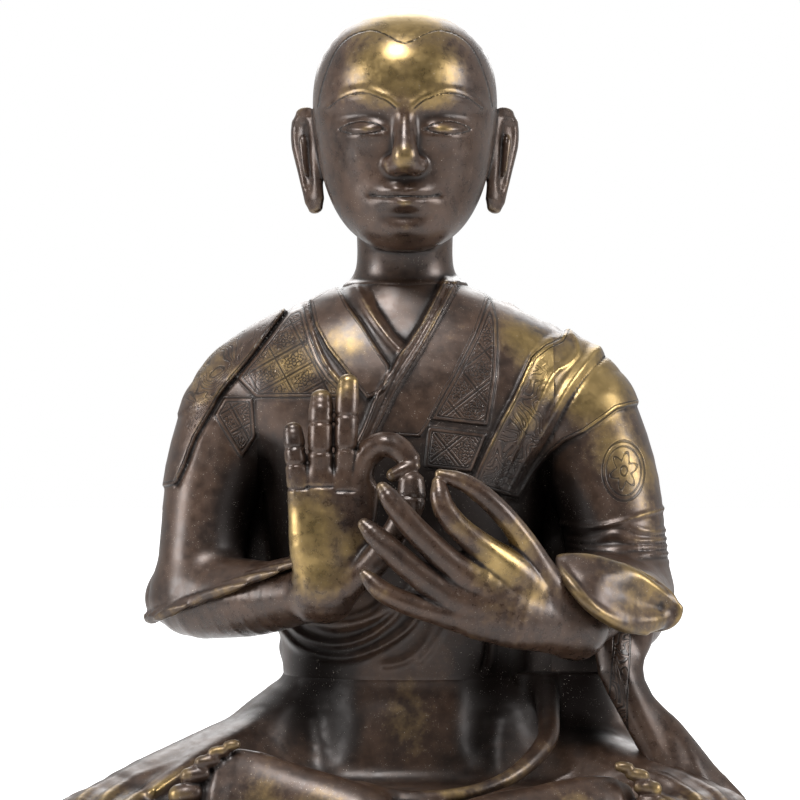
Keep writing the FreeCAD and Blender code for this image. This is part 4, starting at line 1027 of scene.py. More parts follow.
torso_bronze = bronze("torso_bronze", patina_dark, patina_brown, worn_gold, polish=0.34,
                      pattern=torso_pattern)
torso_cast.data.materials.append(torso_bronze)
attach(torso_cast, "root")
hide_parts("torso")

# Right sleeve: a solid bronze casting, plugged into the armhole and riveted there. It hangs over the top of
# the forearm and ends in a twisted roll of cloth that slants down to the elbow.
right_wrist = np.array((-31 * mm, spine_y - 69 * mm, waist_z + torso_rise * 0.235))
left_wrist = np.array((66 * mm, spine_y - 67 * mm, waist_z + torso_rise * 0.145))
forearm_width = 27 * mm
sleeve_cloth, skin_room = 1.6 * mm, 4 * mm
forearm_shares = ((0.0, 0.9, 0.9), (0.08, 1.12, 1.12), (0.2, 1.2, 1.2), (0.5, 1.08, 1.06), (0.8, 0.86, 0.88),
                  (1.0, 0.8, 0.8))
right_elbow = elbows[-1]
hem_slant = 0.43
hem_normal = np.array((-hem_slant, 0, 1)) / math.hypot(hem_slant, 1)
hem_point = right_elbow - (0, 0, sleeve_widths[-1] * 0.06)
roll_radius, roll_sunk, roll_up, roll_depth = 2.2 * mm, 0.4 * mm, 1.8 * mm, 3 * mm
twist_height, twist_across, twist_up = 0.5 * mm, 1.1, 0.9
elbow_end = right_elbow + heading(right_wrist, right_elbow) * forearm_width * 0.45
halfway = (right_elbow + right_wrist) / 2 - (0, 0, forearm_width * 0.08)
right_forearm = (elbow_end, halfway, right_wrist)


def past_plane(x, y, z, point, normal):
    """How far cells lie past a plane through a point."""
    return (x - point[0]) * normal[0] + (y - point[1]) * normal[1] + (z - point[2]) * normal[2]


def cut_at_armhole(side, skin):
    """Cut the robe's wax at one armhole and keep the arm, with what lies near its own skin.

    Gives the distances as they were before the cut.
    """
    uncut = robe_wax["gap"].copy()
    out = side * x
    robe_wax["gap"] += sink * fade(-out, -armhole_x, -armhole_x + seam / 2) * (skin > skin_room)
    beyond_seam = np.minimum(armhole_x - out - seam, skin - skin_room)
    robe_wax["gap"] = np.maximum(np.maximum(robe_wax["gap"], beyond_seam), waist_z - z)
    return uncut


robe_wax["gap"] = uncut_robe.copy()
cloth_width = forearm_width + 2 * sleeve_cloth
place, gap = limb(robe_wax, right_forearm, forearm_shares, cloth_width, cloth_width, (0, 0, 1))
cloth_gap = np.full(robe_wax["gap"].shape, far, np.float32)
cloth_gap[place] = gap
robe_wax["gap"] = soft_least(robe_wax["gap"], cloth_gap, 6 * mm)
over_hem = past_plane(x, y, z, hem_point, hem_normal)
inner_skin = robe_wax["gap"].copy()
robe_wax["gap"] = np.maximum(robe_wax["gap"], -over_hem)
twist = np.sin((x * twist_across + y * twist_across) / mm + over_hem / mm * twist_up)
from_roll = np.hypot(np.maximum(inner_skin, -roll_depth) - roll_sunk, over_hem - roll_up)
robe_wax["gap"] = soft_least(robe_wax["gap"], from_roll - (roll_radius + twist_height * twist), 0.8 * mm)
robe_wax["gap"] = robe_wax["gap"].astype(np.float32)
uncut = cut_at_armhole(-1, cloth_gap)
right_sleeve_cast, points = cast("right_sleeve_casting", robe_wax, uncut)
# Rubbed places, then two of painted shade at the armpit behind the arm.
right_sleeve_rubs_and_shade = [(-78, 20, 245, 24, 0.4), (-90, 0, 200, 18, 0.15), (-56, 6, 186, 20, -1),
                     (-60, 22, 180, 20, -1)]
note(right_sleeve_cast, "rubbed_and_shade", blobs(points, right_sleeve_rubs_and_shade))
note_outlines(right_sleeve_cast, points)
right_sleeve_cast.data.materials.append(torso_bronze)
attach(right_sleeve_cast, "root")
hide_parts("right_sleeve")

# Left sleeve: a solid bronze casting, plugged into the armhole and riveted there. It turns forward at the
# elbow and opens in a wide flat cuff with a rolled rim, whose cloth drapes below the wrist.
left_elbow = elbows[1]
cuff_width, cuff_height, cuff_gap = 52 * mm, 24 * mm, 1.2 * mm
cuff_shares = ((0.0, 0.6, 0.7), (0.12, 0.78, 1.15), (0.4, 0.82, 1.3), (0.75, 0.9, 1.1), (1.0, 1.0, 1.0))
lip_radius, lip_in, lip_rise, lip_slant = 1.7 * mm, 1.0 * mm, 6 * mm, 0.3
lip_fade = 183 * mm, 189 * mm
drape_width, drape_thickness, drape_side = 25 * mm, 8 * mm, (0.4, 0.55, 0.85)
drape_shares = ((0.0, 0.3, 0.7), (0.25, 0.85, 1.0), (0.5, 1.0, 1.0), (0.8, 0.75, 1.0), (1.0, 0.35, 0.7))
cuff_fold_width, cuff_fold_shares = 6 * mm, ((0, 0.6, 0.6), (0.5, 1, 1), (1, 0.6, 0.6))
dent_width, dent_depth = 13 * mm, 9 * mm
dent_shares = ((0, 0.3, 0.5), (0.3, 1, 1), (0.7, 0.9, 0.9), (1, 0.3, 0.5))
rolled_width, rolled_shares = 5 * mm, ((0, 0.8, 0.8), (0.3, 1, 1), (0.8, 1, 1), (1, 0.7, 0.7))

# The cloth below the cuff, from the wrist outward in millimetres: drape, upper fold, dent and rolled edge.
drape = ((62, -47, 167), (73.6, -50, 159.5), (84.3, -46, 154.5), (97, -36, 150), (105, -28, 148))
cuff_fold = ((60, -46, 170), (70, -45, 170), (80, -42, 167), (92, -38, 161.5), (103, -31, 153))
cuff_dent = ((73, -58, 164), (82, -55.5, 159), (92, -47, 155), (101, -37, 151))
rolled = ((58, -47, 169), (64, -55, 161), (72, -57, 152), (83, -50, 145), (94, -40, 141.5))
reach = left_wrist - left_elbow
cuff_mouth = left_elbow + reach * 0.78 + (cuff_width * 0.235, 0, cuff_height * 0.4)
cuff_joints = (left_elbow + (0, sleeve_widths[1] * 0.25, 0), left_elbow, cuff_mouth)
robe_wax["gap"] = uncut_robe.copy()
place, gap = limb(robe_wax, cuff_joints, cuff_shares, cuff_width, cuff_height, (1, 0, -0.3))
cuff_skin = np.full(robe_wax["gap"].shape, far, np.float32)
cuff_skin[place] = gap
cuff_x, cuff_y, cuff_z = x[place[0]], y[:, place[1]], z[:, :, place[2]]
past_mouth = past_plane(cuff_x, cuff_y, cuff_z, cuff_mouth, heading(left_elbow, cuff_mouth))
lay_on(robe_wax, place, np.maximum(gap, past_mouth), blend=5 * mm)
upper_lip = fade(cuff_z + lip_slant * cuff_x, *lip_fade) * lip_rise
lay_on(robe_wax, place, np.hypot(gap, past_mouth + lip_in) - lip_radius + upper_lip, blend=1.2 * mm)
lay_limb(robe_wax, np.array(drape) * mm, drape_shares, drape_width, drape_thickness, drape_side, blend=3 * mm)
lay_limb(robe_wax, np.array(cuff_fold) * mm, cuff_fold_shares, cuff_fold_width, cuff_fold_width, (0, 1, 0),
         blend=4 * mm)
dent = limb(robe_wax, np.array(cuff_dent) * mm, dent_shares, dent_width, dent_depth, drape_side)
take_off(robe_wax, *dent, blend=5 * mm)
lay_limb(robe_wax, np.array(rolled) * mm, rolled_shares, rolled_width, rolled_width, (0, 1, 0),
         blend=1.6 * mm)
forearm_foot = left_elbow + reach * 0.32
left_forearm = (forearm_foot, (forearm_foot + left_wrist) / 2, left_wrist)
left_forearm_shares = ((0.0, 1.0, 1.0), (0.5, 0.94, 0.94), (1.0, 0.8, 0.8))
bore_width = forearm_width + 2 * cuff_gap
bore = limb(robe_wax, left_forearm, left_forearm_shares, bore_width, bore_width, (0, 0, 1))
take_off(robe_wax, *bore, blend=1.0 * mm)
uncut = cut_at_armhole(1, cuff_skin)
left_sleeve_cast, points = cast("left_sleeve_casting", robe_wax, uncut)
# Rubbed places, then three of painted shade: two at the armpit behind the arm and one low on the hanging
# cloth.
left_sleeve_rubs_and_shade = [(78, 0, 243, 24, 0.9), (88, -2, 205, 24, 0.6), (94, 2, 178, 16, 0.4),
                    (86, -40, 160, 20, 0.45), (100, -34, 152, 12, 0.4), (58, 6, 180, 22, -1),
                    (60, 22, 176, 22, -1), (72, 12, 136, 18, -1)]
note(left_sleeve_cast, "rubbed_and_shade", blobs(points, left_sleeve_rubs_and_shade))
note_outlines(left_sleeve_cast, points)
left_sleeve_cast.data.materials.append(torso_bronze)
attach(left_sleeve_cast, "root")
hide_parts("left_sleeve")

# Hands: each is one solid bronze casting with its forearm, plugged and riveted into its sleeve. The right
# one is raised with its palm forward, and the left one reaches across below it. In both the first finger
# meets the thumb.
hand_length, palm_width, palm_thickness, finger_width = 88 * mm, 31 * mm, 14 * mm, 10 * mm
finger_shares = ((0.0, 0.9, 0.9), (0.25, 1.05, 1.02), (0.6, 1.03, 1.0), (0.88, 1.0, 0.92), (1.0, 0.86, 0.7))
thumb_shares = ((0.0, 1.2, 1.2), (0.3, 1.15, 1.1), (0.6, 1.05, 1.0), (0.85, 1.2, 1.05), (1.0, 1.0, 0.85))
bent_shares = ((0.0, 0.7, 0.5), (0.2, 1.15, 1.0), (0.45, 1.12, 1.04), (0.65, 1.04, 1.0), (0.82, 0.95, 0.9),
               (0.93, 0.8, 0.72), (1.0, 0.5, 0.46))
palm_shares = {
    "right": ((0.0, 0.6, 1.0), (0.14, 0.74, 1.3), (0.4, 0.95, 1.15), (0.75, 1.12, 1.0), (1.0, 1.08, 0.75)),
    "left": ((0.0, 0.8, 1.5), (0.3, 0.98, 1.25), (0.6, 1.2, 1.1), (0.85, 1.2, 1.0), (1.0, 1.0, 0.7)),
}
digit_shares = {("right", "little"): finger_shares, ("right", "ring"): finger_shares,
                ("right", "middle"): finger_shares,
                ("right", "first"): ((0.0, 1.0, 1.0), (0.3, 1.08, 1.05), (0.7, 1.1, 1.02), (1.0, 0.95, 0.85)),
                ("right", "first_tip"): ((0.0, 1.0, 1.0), (0.6, 1.0, 1.0), (1.0, 0.9, 0.9)),
                ("right", "thumb"): thumb_shares}
joint_shares = {("right", "little"): (0.14, 0.46, 0.74), ("right", "ring"): (0.12, 0.4, 0.68),
                ("right", "middle"): (0.08, 0.4, 0.68), ("right", "thumb"): (0.8,)}
root_blends = {"right": 3.5 * mm, "left": 7 * mm}
hand_cell, hand_room = 0.6 * mm, 20 * mm
crease_depth, crease_steps = 0.6 * mm, 12


def hand_spot(wrist, direction, shares):
    """A spot of a hand, as shares of its length across, forward and up from the wrist."""
    across, forward, rise = shares
    return wrist + np.array((direction * across, -forward, rise)) * hand_length


def crease(wax, line, share, width):
    """A shallow chased line round a finger joint."""
    curve = smooth_through(line, crease_steps)
    index = int(share * (len(curve) - 1))
    spot = curve[index]
    place, x, y, z = part_of(wax, spot - width, spot + width)
    along = past_plane(x, y, z, spot, heading(curve[index - 1], curve[index + 1]))
    x, y, z = x - spot[0], y - spot[1], z - spot[2]
    away = np.sqrt(x * x + y * y + z * z)
    cut = crease_depth * ridge(along, crease_depth) * fade(-away, -width * 0.85, -width * 0.6)
    wax["gap"][place] += cut.astype(np.float32)


def model_hand(name, wrist, direction, forearm, arm_shares, palm_places, palm_side, digits):
    """The wax of a forearm and its hand; digits hold each finger's width share and its joints."""
    palm = [hand_spot(wrist, direction, shares) for shares in palm_places]
    lines = {digit: [hand_spot(wrist, direction, shares) for shares in joints]
             for digit, (_, joints) in digits.items()}
    corners = np.array([spot for line in lines.values() for spot in line] + list(forearm) + palm)
    wax = wax_block(corners.min(0) - hand_room, corners.max(0) + hand_room, hand_cell)
    lay_limb(wax, forearm, arm_shares, forearm_width, forearm_width, (0, 0, 1), blend=1 * mm)
    lay_limb(wax, palm, palm_shares[name], palm_width, palm_thickness, palm_side, blend=6 * mm)
    palm_gap = wax["gap"]
    wax["gap"] = np.full(wax["count"], far, np.float32)
    for digit, (width_share, _) in digits.items():
        width = finger_width * width_share
        stations = digit_shares.get((name, digit), bent_shares)
        lay_limb(wax, lines[digit], stations, width, width, palm_side, blend=0.7 * mm)
    wax["gap"] = soft_least(wax["gap"], palm_gap, root_blends[name])
    for digit, (width_share, _) in digits.items():
        for share in joint_shares.get((name, digit), ()):
            crease(wax, lines[digit], share, finger_width * width_share)
    return wax


right_palm = ((0.0, 0.02, -0.05), (0.01, 0.05, 0.2), (0.05, 0.05, 0.48))
right_digits = {
    "little": (0.84, ((-0.118, 0.05, 0.42), (-0.13, 0.06, 0.58), (-0.145, 0.05, 0.72))),
    "ring": (0.98, ((-0.02, 0.05, 0.43), (-0.022, 0.07, 0.68), (-0.018, 0.05, 0.86))),
    "middle": (0.92, ((0.088, 0.05, 0.43), (0.09, 0.07, 0.7), (0.1, 0.05, 0.93))),
    "first": (0.95, ((0.13, 0.04, 0.38), (0.165, 0.06, 0.57), (0.215, 0.075, 0.635), (0.27, 0.09, 0.655),
                     (0.325, 0.1, 0.635), (0.37, 0.11, 0.585))),
    "first_tip": (0.6, ((0.385, 0.13, 0.56), (0.35, 0.14, 0.545), (0.3, 0.145, 0.52))),
    "thumb": (1.0, ((0.1, 0.06, 0.03), (0.22, 0.1, 0.14), (0.33, 0.14, 0.3), (0.375, 0.15, 0.41),
                     (0.38, 0.145, 0.49))),
}
hand_wax = model_hand("right", right_wrist, 1, right_forearm, forearm_shares, right_palm, (1, 0, 0),
                      right_digits)

# What the sleeve hides of the forearm stops inside the sleeve.
hem_cover, sleeve_start = 3 * mm, 55 * mm
_, x, y, z = whole(hand_wax)
hidden = np.minimum(past_plane(x, y, z, hem_point, hem_normal) - hem_cover, -x - sleeve_start)
hand_wax["gap"] = np.maximum(hand_wax["gap"], hidden.astype(np.float32))
right_hand_cast, points = cast("right_hand_casting", hand_wax)
right_hand_rubs = [(-38, -50, 182, 18, 0.7), (-36, -52, 168, 16, 0.65), (-24, -50, 176, 12, 0.5),
                   (-26, -48, 236, 6, 0.4)]
note(right_hand_cast, "rubbed_and_shade", blobs(points, right_hand_rubs))
hand_bronze = bronze("hand_bronze", patina_dark, patina_brown, worn_gold, polish=0.29)
right_hand_cast.data.materials.append(hand_bronze)
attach(right_hand_cast, "root")
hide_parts("right_hand")

left_palm = ((-0.02, -0.02, 0.0), (0.25, 0.2, 0.12), (0.5, 0.28, 0.2))
left_digits = {
    "little": (0.86, ((0.36, 0.24, 0.05), (0.57, 0.31, 0.08), (0.72, 0.33, 0.12), (0.84, 0.34, 0.175),
                      (0.93, 0.33, 0.255))),
    "ring": (1.0, ((0.34, 0.23, 0.1), (0.54, 0.31, 0.15), (0.7, 0.34, 0.26), (0.83, 0.35, 0.375),
                   (0.93, 0.34, 0.472))),
    "middle": (0.98, ((0.3, 0.22, 0.15), (0.5, 0.31, 0.26), (0.65, 0.34, 0.39), (0.76, 0.35, 0.51),
                      (0.85, 0.34, 0.632))),
    "first": (0.94, ((0.16, 0.18, 0.2), (0.38, 0.29, 0.35), (0.51, 0.33, 0.45), (0.585, 0.34, 0.55),
                     (0.607, 0.32, 0.655))),
    "thumb": (0.82, ((-0.04, 0.05, 0.06), (0.1, 0.14, 0.21), (0.22, 0.21, 0.385), (0.34, 0.27, 0.53),
                     (0.47, 0.3, 0.64), (0.6, 0.31, 0.69))),
}
hand_wax = model_hand("left", left_wrist, -1, left_forearm, left_forearm_shares, left_palm, (0, 0.2, 1),
                      left_digits)
left_hand_cast, points = cast("left_hand_casting", hand_wax)
left_hand_rubs = [(36, -64, 170, 13, 0.8), (22, -66, 184, 8, 0.6), (48, -60, 158, 14, 0.4),
                  (36, -66, 150, 16, 0.3)]
note(left_hand_cast, "rubbed_and_shade", blobs(points, left_hand_rubs))
left_hand_cast.data.materials.append(hand_bronze)
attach(left_hand_cast, "root")
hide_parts("left_hand")

# End of the shawl: it falls from under the left cuff and spreads on the thigh, with a chased border of
# scrolls. It is cast in bronze on its own and fitted between cuff and lap.
shawl_low, shawl_high = (np.array(corner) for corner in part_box("shawl_end"))
shawl_width, shawl_thickness = 34 * mm, 13 * mm
shawl_shares = ((0.0, 0.8, 1.0), (0.2, 0.68, 1.0), (0.4, 0.5, 1.0), (0.62, 0.62, 1.0), (0.85, 0.8, 1.1),
                (1.0, 0.8, 0.8))
shawl_cell = 0.7 * mm
pleat_height, pleats_per_mm, pleat_lean = 0.8 * mm, 0.4, 0.35
pleat_x, pleat_z = 88 * mm, 110 * mm
shawl_top = left_elbow + reach * 0.3 + (8 * mm, 0, 0)
shawl_foot = np.array((knee_spread * 0.51, spine_y - knee_forward * 0.8, seat_z + lap_rise * 0.38))
shawl_middle = np.array((elbow_sides[1], spine_y - knee_forward * 0.6, seat_z + lap_rise * 0.98))
shawl_wax = wax_block(shawl_low - margin, shawl_high + margin, shawl_cell)
lay_limb(shawl_wax, (shawl_top, shawl_middle, shawl_foot), shawl_shares, shawl_width, shawl_thickness,
         (1, 0.3, 0), blend=1 * mm)
_, x, y, z = whole(shawl_wax)
across = (x - pleat_x) + (z - pleat_z) * pleat_lean
shawl_wax["gap"] -= (pleat_height * np.sin(across / mm * pleats_per_mm)).astype(np.float32)
shawl_cast, points = cast("shawl_end_casting", shawl_wax)
# Rubbed places, then one of painted shade on the inner side of the shawl, next to the belly.
shawl_rubs_and_shade = [(85, -35, 128, 14, 0.8), (92, -40, 110, 12, 0.5), (76, -30, 112, 10, -0.6)]
note(shawl_cast, "rubbed_and_shade", blobs(points, shawl_rubs_and_shade))


fall_x, fall_z, fall_wave, border_half = 85.5, 125.0, 0.1, 3.4


def shawl_pattern(tree, place):
    """A border of chased scrolls between two lines, along the fall of the shawl."""
    x, _, z = axis_readings(tree, place)
    from_middle = (x - fall_x - ((z - fall_z) * fall_wave).work("SINE")).work("ABSOLUTE")
    waves = noise(tree, place, Scale=90.0, Detail=1.0, Distortion=0.8)
    scrolls = groove(((waves * 15.0).work("FRACT") - 0.5) * 2.0, 0.8)
    scrolls = scrolls * from_middle.between(2.6, 3.0, 1.0, 0.0)
    return strongest(scrolls, groove(from_middle - border_half, 0.8)), 0.8


shawl_tone = (0.16, 0.13, 0.105)
shawl_bronze = bronze("shawl_bronze", patina_dark, patina_brown, shawl_tone, polish=0.3,
                      pattern=shawl_pattern)
shawl_cast.data.materials.append(shawl_bronze)
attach(shawl_cast, "root")
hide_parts("shawl_end")

# Head: shaven, with long-lobed ears and a short round neck, cast hollow in bronze, plugged into the collar
# and riveted from behind. The face is a plain calm one on the usual measures: eyes half way up under
# lowered lids, and the foot of the nose a third up.
crown_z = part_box("head")[1][2]
neck_height, head_width, head_depth = 14 * mm, 75 * mm, 88 * mm
chin_z = neck_z + neck_height
head_height = crown_z - chin_z
skull_shares = (
    (0.0, 0.2, 0.16, 0.6), (0.03, 0.4, 0.34, 0.5), (0.09, 0.6, 0.54, 0.38), (0.18, 0.76, 0.7, 0.24),
    (0.3, 0.88, 0.83, 0.1), (0.45, 0.96, 0.95, 0.0), (0.62, 1.0, 1.0, -0.02), (0.76, 0.95, 0.96, -0.02),
    (0.87, 0.8, 0.82, -0.02), (0.945, 0.58, 0.6, -0.02), (0.985, 0.32, 0.34, -0.02), (1.0, 0.1, 0.1, -0.02),
)
skull_y = spine_y - head_depth * 0.1
bow, bow_pivot_share = math.radians(6), 0.2
skull_rows = smooth_through(skull_shares, curve_steps)
head_cell, head_room = 0.68 * mm, 3 * mm
head_side, head_front, head_back = 50 * mm, -54 * mm, 76 * mm
head_wax = wax_block(
    (-head_side, head_front, neck_z - seam_room), (head_side, head_back, crown_z + head_room), head_cell)


def bowed(y, high):
    """The head bows: what is higher lies further forward."""
    return y - math.tan(bow) * head_height * (high - bow_pivot_share)


skull = [(chin_z + head_height * high, head_width * wide / 2, head_depth * deep / 2,
          bowed(skull_y - head_depth * lead / 2, high)) for high, wide, deep, lead in skull_shares]
lay_on(head_wax, *stack(head_wax, skull), blend=1 * mm)


def face_spot(wide, high, proud):
    """A spot on the front of the skull, given as shares across, up and out of the skin."""
    half_width, half_depth, lead = [np.interp(high, skull_rows[:, 0], skull_rows[:, column])
                                    for column in (1, 2, 3)]
    half_width *= head_width / 2
    y = skull_y - head_depth * lead / 2 - head_depth * half_depth / 2 * math.sqrt(1 - wide * wide)
    return np.array((half_width * wide, bowed(y - head_depth * proud, high), chin_z + head_height * high))


def feature(places, stations, width_share, thickness_share, broad_side, blend, scrape=False):
    """Model a limb of wax on the face, or scrape one out of it."""
    line = [face_spot(*place) for place in places]
    place, gap = limb(head_wax, line, stations, head_width * width_share, head_width * thickness_share,
                      broad_side)
    (take_off if scrape else lay_on)(head_wax, place, gap, blend)


nose_shares = ((0.0, 0.7, 0.5), (0.3, 0.66, 0.7), (0.6, 0.76, 0.85), (0.85, 0.95, 1.0), (1.0, 0.8, 0.7))
wing_shares = ((0.0, 0.6, 0.6), (0.5, 1.0, 1.0), (1.0, 0.8, 0.8))
nose_places = [(0, 0.57, -0.035), (0, 0.5, -0.005), (0, 0.43, 0.03), (0, 0.372, 0.062), (0, 0.345, 0.03)]
feature(nose_places, nose_shares, 0.15, 0.15, (1, 0, 0), blend=3 * mm)
for side in (-1, 1):
    wing_places = [(side * 0.18, 0.345, -0.012), (side * 0.15, 0.338, 0.012), (side * 0.09, 0.34, 0.038)]
    nostril_places = [(side * 0.09, 0.308, 0.04), (side * 0.12, 0.312, 0.02)]
    feature(wing_places, wing_shares, 0.085, 0.09, (0, 0, 1), blend=2.6 * mm)
    feature(nostril_places, wing_shares, 0.035, 0.04, (1, 0, 0), blend=1.0 * mm, scrape=True)

# The face's soft forms: each is a swelling, as millimetres across, a share up, its size and its height.
face_swellings = ((16, 0.535, 11, 5, -2.6), (8.5, 0.5, 4, 6, -1.0), (16.5, 0.485, 9, 5, 3.2),
                  (17, 0.585, 13, 4, 1.2), (21, 0.38, 9, 10, 1.8), (0, 0.215, 13, 9, 1.6),
                  (3.8, 0.236, 4.6, 2.4, 1.8), (0, 0.18, 6.4, 3, 2.6), (0, 0.262, 2.2, 3, -0.3),
                  (0, 0.135, 8, 2.8, -1.2), (0, 0.07, 9, 5, 1.8), (13, 0.213, 2.4, 2.4, -0.5),
                  (0, 0.545, 5, 5, 0.6))
_, x, y, z = whole(head_wax)
flat_x, flat_z = x[:, :, 0], z[0]
mirrored_x, face_share = np.abs(flat_x) / mm, (flat_z - chin_z) / head_height
face_relief = np.zeros(np.broadcast(flat_x, flat_z).shape)
for across, high, half_wide, half_high, height in face_swellings:
    face_relief += height * mm * np.exp(-((mirrored_x - across) / half_wide) ** 2
                                        - ((face_share - high) * head_height / mm / half_high) ** 2)


def face_line(places):
    """A line on the face from millimetres across and shares up, as a path seen from the front."""
    return [(across, (chin_z + head_height * high) / mm) for across, high in places]


brow_edge = face_line(((3.5, 0.56), (8, 0.595), (16, 0.625), (24, 0.615), (31, 0.575)))
lid_edge = face_line(((8.5, 0.479), (12, 0.466), (17, 0.461), (22, 0.468), (26, 0.483)))
lid_fold = face_line(((8.5, 0.487), (12, 0.504), (17, 0.513), (22, 0.507), (26.5, 0.49)))
lip_part = face_line(((0, 0.208), (3, 0.211), (7, 0.209), (11, 0.214), (13.5, 0.22)))
hairline = ((0, 373), (3, 374), (8, 377), (14, 379), (22, 377), (28, 371), (33, 359), (35, 350))
brow_height, brow_width, brow_lift = 0.7 * mm, 1.8 * mm, 1.4 * mm
lid_depth, lid_width = 0.6 * mm, 1.0 * mm
lip_depth, lip_width = 0.7 * mm, 0.9 * mm
face_fade = 0, 16 * mm
face_relief += brow_height * ridge(path_gap(mirrored_x * mm, flat_z - brow_lift, brow_edge), brow_width)
face_relief -= lid_depth * ridge(path_gap(mirrored_x * mm, flat_z, lid_edge), lid_width)
face_relief -= lip_depth * ridge(path_gap(mirrored_x * mm, flat_z, lip_part), lip_width)
head_wax["gap"] -= (face_relief[:, None, :] * fade(skull_y - y, *face_fade)).astype(np.float32)
face_gaps = np.minimum.reduce([path_gap(mirrored_x * mm, flat_z, line)
                               for line in (brow_edge, lid_edge, lid_fold, lip_part, hairline)]) / mm
ear_length, ear_width, ear_thickness = 43 * mm, 20 * mm, 6 * mm
ear_shares = ((0.0, 0.5, 0.7), (0.1, 0.9, 1.0), (0.3, 1.0, 1.0), (0.55, 0.78, 0.9), (0.8, 0.62, 0.9),
              (0.94, 0.56, 0.9), (1.0, 0.4, 0.7))
for side in (-1, 1):
    ear_top = np.array((side * head_width * 0.55, skull_y + head_depth * 0.06, chin_z + head_height * 0.59))
    ear_foot = ear_top - (side * ear_thickness * 0.8, ear_thickness * 0.4, ear_length * 0.92)
    ear_middle = (ear_top + ear_foot) / 2 + (side * ear_thickness * 0.1, 0, 0)
    ear_side = (side * 0.62, 0.78, 0)
    ear_line = (ear_top, ear_middle, ear_foot)
    lay_limb(head_wax, ear_line, ear_shares, ear_width, ear_thickness, ear_side, blend=1.5 * mm)
    push = np.array((side * 0.78, -0.62, 0)) * ear_thickness * 0.62
    raised_dish, raised_fold = (0, 0, ear_length * 0.05), (0, 0, ear_length * 0.04)
    dish = [(spot - ear_middle) * 0.7 + ear_middle + raised_dish + push for spot in ear_line]
    scraped = limb(head_wax, dish, ear_shares, ear_width * 0.6, ear_thickness, ear_side)
    take_off(head_wax, *scraped, blend=1.0 * mm)
    fold = [(spot - ear_middle) * 0.4 + ear_middle + raised_fold + push * 0.6 for spot in ear_line]
    lay_limb(head_wax, fold, ear_shares, ear_width * 0.2, ear_thickness * 0.6, ear_side, blend=1.0 * mm)

# The neck ends below in the torso's collar, and takes the collar's relief with it.
neck = [(neck_z - seam_room, neck_width * 0.64, neck_width * 0.6, spine_y),
        (neck_z, neck_width * 0.6, neck_width * 0.55, spine_y),
        (neck_z + neck_height * 0.25, neck_width * 0.52, neck_width * 0.5, spine_y),
        (neck_z + neck_height * 0.7, neck_width * 0.46, neck_width * 0.47, spine_y - neck_height * 0.1),
        (chin_z + head_height * 0.1, neck_width * 0.46, neck_width * 0.5, spine_y - neck_height * 0.2),
        (chin_z + head_height * 0.35, neck_width * 0.5, neck_width * 0.5, spine_y - neck_height * 0.3)]
lay_on(head_wax, *stack(head_wax, neck), blend=3 * mm)
collar_fade = -neck_z - 5 * mm, -neck_z - 2 * mm
place, x, y, z = part_of(head_wax, head_wax["low"], (head_side, head_back, neck_z + seam_room))
seen = np.stack(np.broadcast_arrays((x[:, 0] - robe_wax["low"][0]) / robe_wax["cell"], 0 * z[0],
                                    (z[0] - robe_wax["low"][2]) / robe_wax["cell"]), -1)
collar = read_off(np.repeat(relief[:, None, :], 2, axis=1), seen.reshape(-1, 3)).reshape(seen.shape[:2])
collar = collar[:, None, :] * fade(spine_y - y, *front_fade) * fade(-z, *collar_fade)
head_wax["gap"][place] -= collar.astype(np.float32)
_, x, y, z = whole(head_wax)
uncut_head = head_wax["gap"].copy()
head_wax["gap"] = np.maximum(head_wax["gap"] + sink * fade(-z, -neck_z - seam / 2, -neck_z),
                             neck_z - seam - z).astype(np.float32)
head_cast, points = cast("head_casting", head_wax, uncut_head)
# Rubbed places, then one of painted shade on the neck under the chin.
head_rubs_and_shade = [(-10, -34, 366, 20, 0.8), (12, -34, 364, 20, 0.8), (0, -20, 388, 24, 0.8),
             (0, -40, 328, 7, 0.55), (-18, -34, 350, 9, 0.7), (18, -34, 350, 9, 0.7),
             (0, -30, 300, 9, 0.4), (23, -26, 325, 9, 0.3), (-23, -26, 325, 9, 0.3), (0, -36, 304, 5, 0.3),
             (0, -8, 281, 14, -0.5)]
note(head_cast, "rubbed_and_shade", blobs(points, head_rubs_and_shade))
note(head_cast, "face", on_front(face_gaps, points, head_wax, skull_y))


def face_pattern(tree, place):
    """Chased lines of the brows, the lids, the lips and the hairline."""
    return groove(kept_note(tree, "face"), 0.9), 0.85


skin_bronze = bronze("skin_bronze", patina_dark, patina_brown, worn_gold, polish=0.3,
                     pattern=face_pattern)
head_cast.data.materials.append(skin_bronze)
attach(head_cast, "root")
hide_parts("head")

# Small fastenings and the closing: the copper sheet under the base, the wooden pole inside, the wedges,
# dowels and rivets. They are true in the solids, so they keep their shape and take their real finish.


def finish_node(name, material):
    """Give a carried-over solid its finish."""
    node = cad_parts[name]
    node.data.materials.clear()
    node.data.materials.append(material)


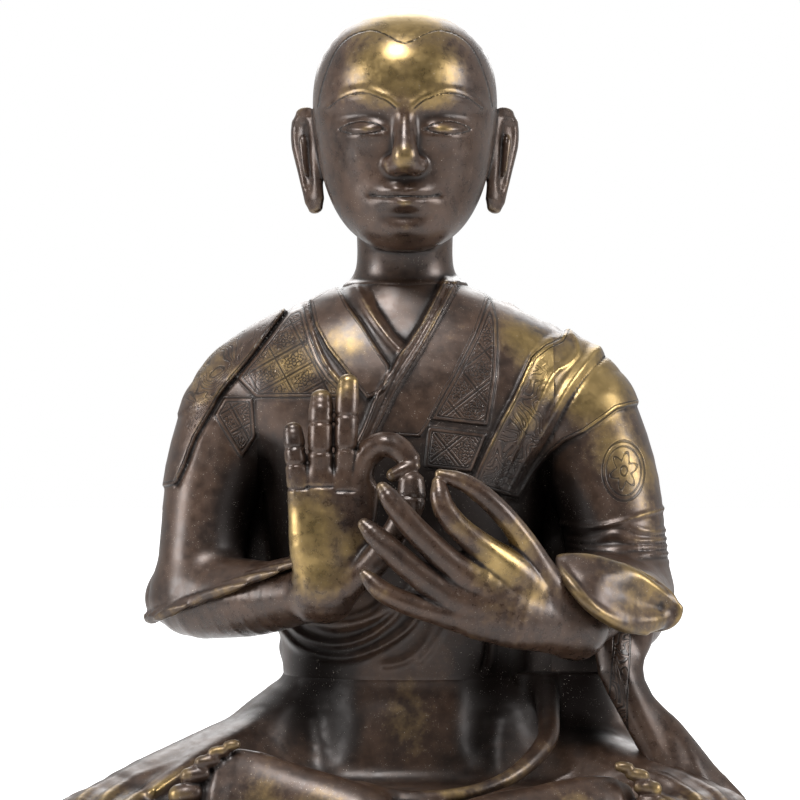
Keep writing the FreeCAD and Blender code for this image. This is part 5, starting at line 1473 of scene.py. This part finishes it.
def copper_sheet():
    """Hammered copper: shallow dents under a brown bloom."""
    material = bpy.data.materials.new("copper_sheet")
    material.use_nodes = True
    tree = material.node_tree
    shader = tree.nodes["Principled BSDF"]
    place = from_node(tree, "ShaderNodeTexCoord", "Object")
    dents = from_node(tree, "ShaderNodeTexVoronoi", "Distance", Vector=place, Scale=160.0)
    bloom = noise(tree, place, Scale=40.0, Detail=6.0)
    tone = mix_tone(tree, bloom.between(0.3, 0.7), (0.46, 0.2, 0.11), (0.22, 0.1, 0.06))
    tree.links.new(tone.socket, shader.inputs["Base Color"])
    tree.links.new(bloom.between(0.2, 0.8, 0.35, 0.55).socket, shader.inputs["Roughness"])
    shader.inputs["Metallic"].default_value = 1.0
    bump = from_node(tree, "ShaderNodeBump", "Normal", Strength=0.5, Distance=0.5 * mm, Height=dents)
    tree.links.new(bump.socket, shader.inputs["Normal"])
    return material


def pole_wood():
    """Planed wood: straight grain along the pole."""
    material = bpy.data.materials.new("pole_wood")
    material.use_nodes = True
    tree = material.node_tree
    shader = tree.nodes["Principled BSDF"]
    place = from_node(tree, "ShaderNodeTexCoord", "Object")
    stretch = tree.nodes.new("ShaderNodeMapping")
    tree.links.new(place.socket, stretch.inputs["Vector"])
    stretch.inputs["Scale"].default_value = (1.0, 1.0, 0.05)
    fibre = noise(tree, Reading(tree, stretch.outputs[0]), Scale=900.0, Detail=5.0)
    tone = mix_tone(tree, fibre.between(0.3, 0.7), (0.5, 0.3, 0.16), (0.3, 0.16, 0.08))
    tree.links.new(tone.socket, shader.inputs["Base Color"])
    shader.inputs["Roughness"].default_value = 0.65
    bump = from_node(tree, "ShaderNodeBump", "Normal", Strength=0.3, Distance=0.2 * mm, Height=fibre)
    tree.links.new(bump.socket, shader.inputs["Normal"])
    return material


finish_node("base_plate", copper_sheet())
finish_node("life_pole", pole_wood())
rivet_bronze = bronze("rivet_bronze", patina_dark, patina_brown, worn_gold, polish=0.36)
for fastening in ("deck_wedges", "waist_dowels", "shoulder_rivets", "wrist_rivets", "neck_rivet"):
    finish_node(fastening, rivet_bronze)
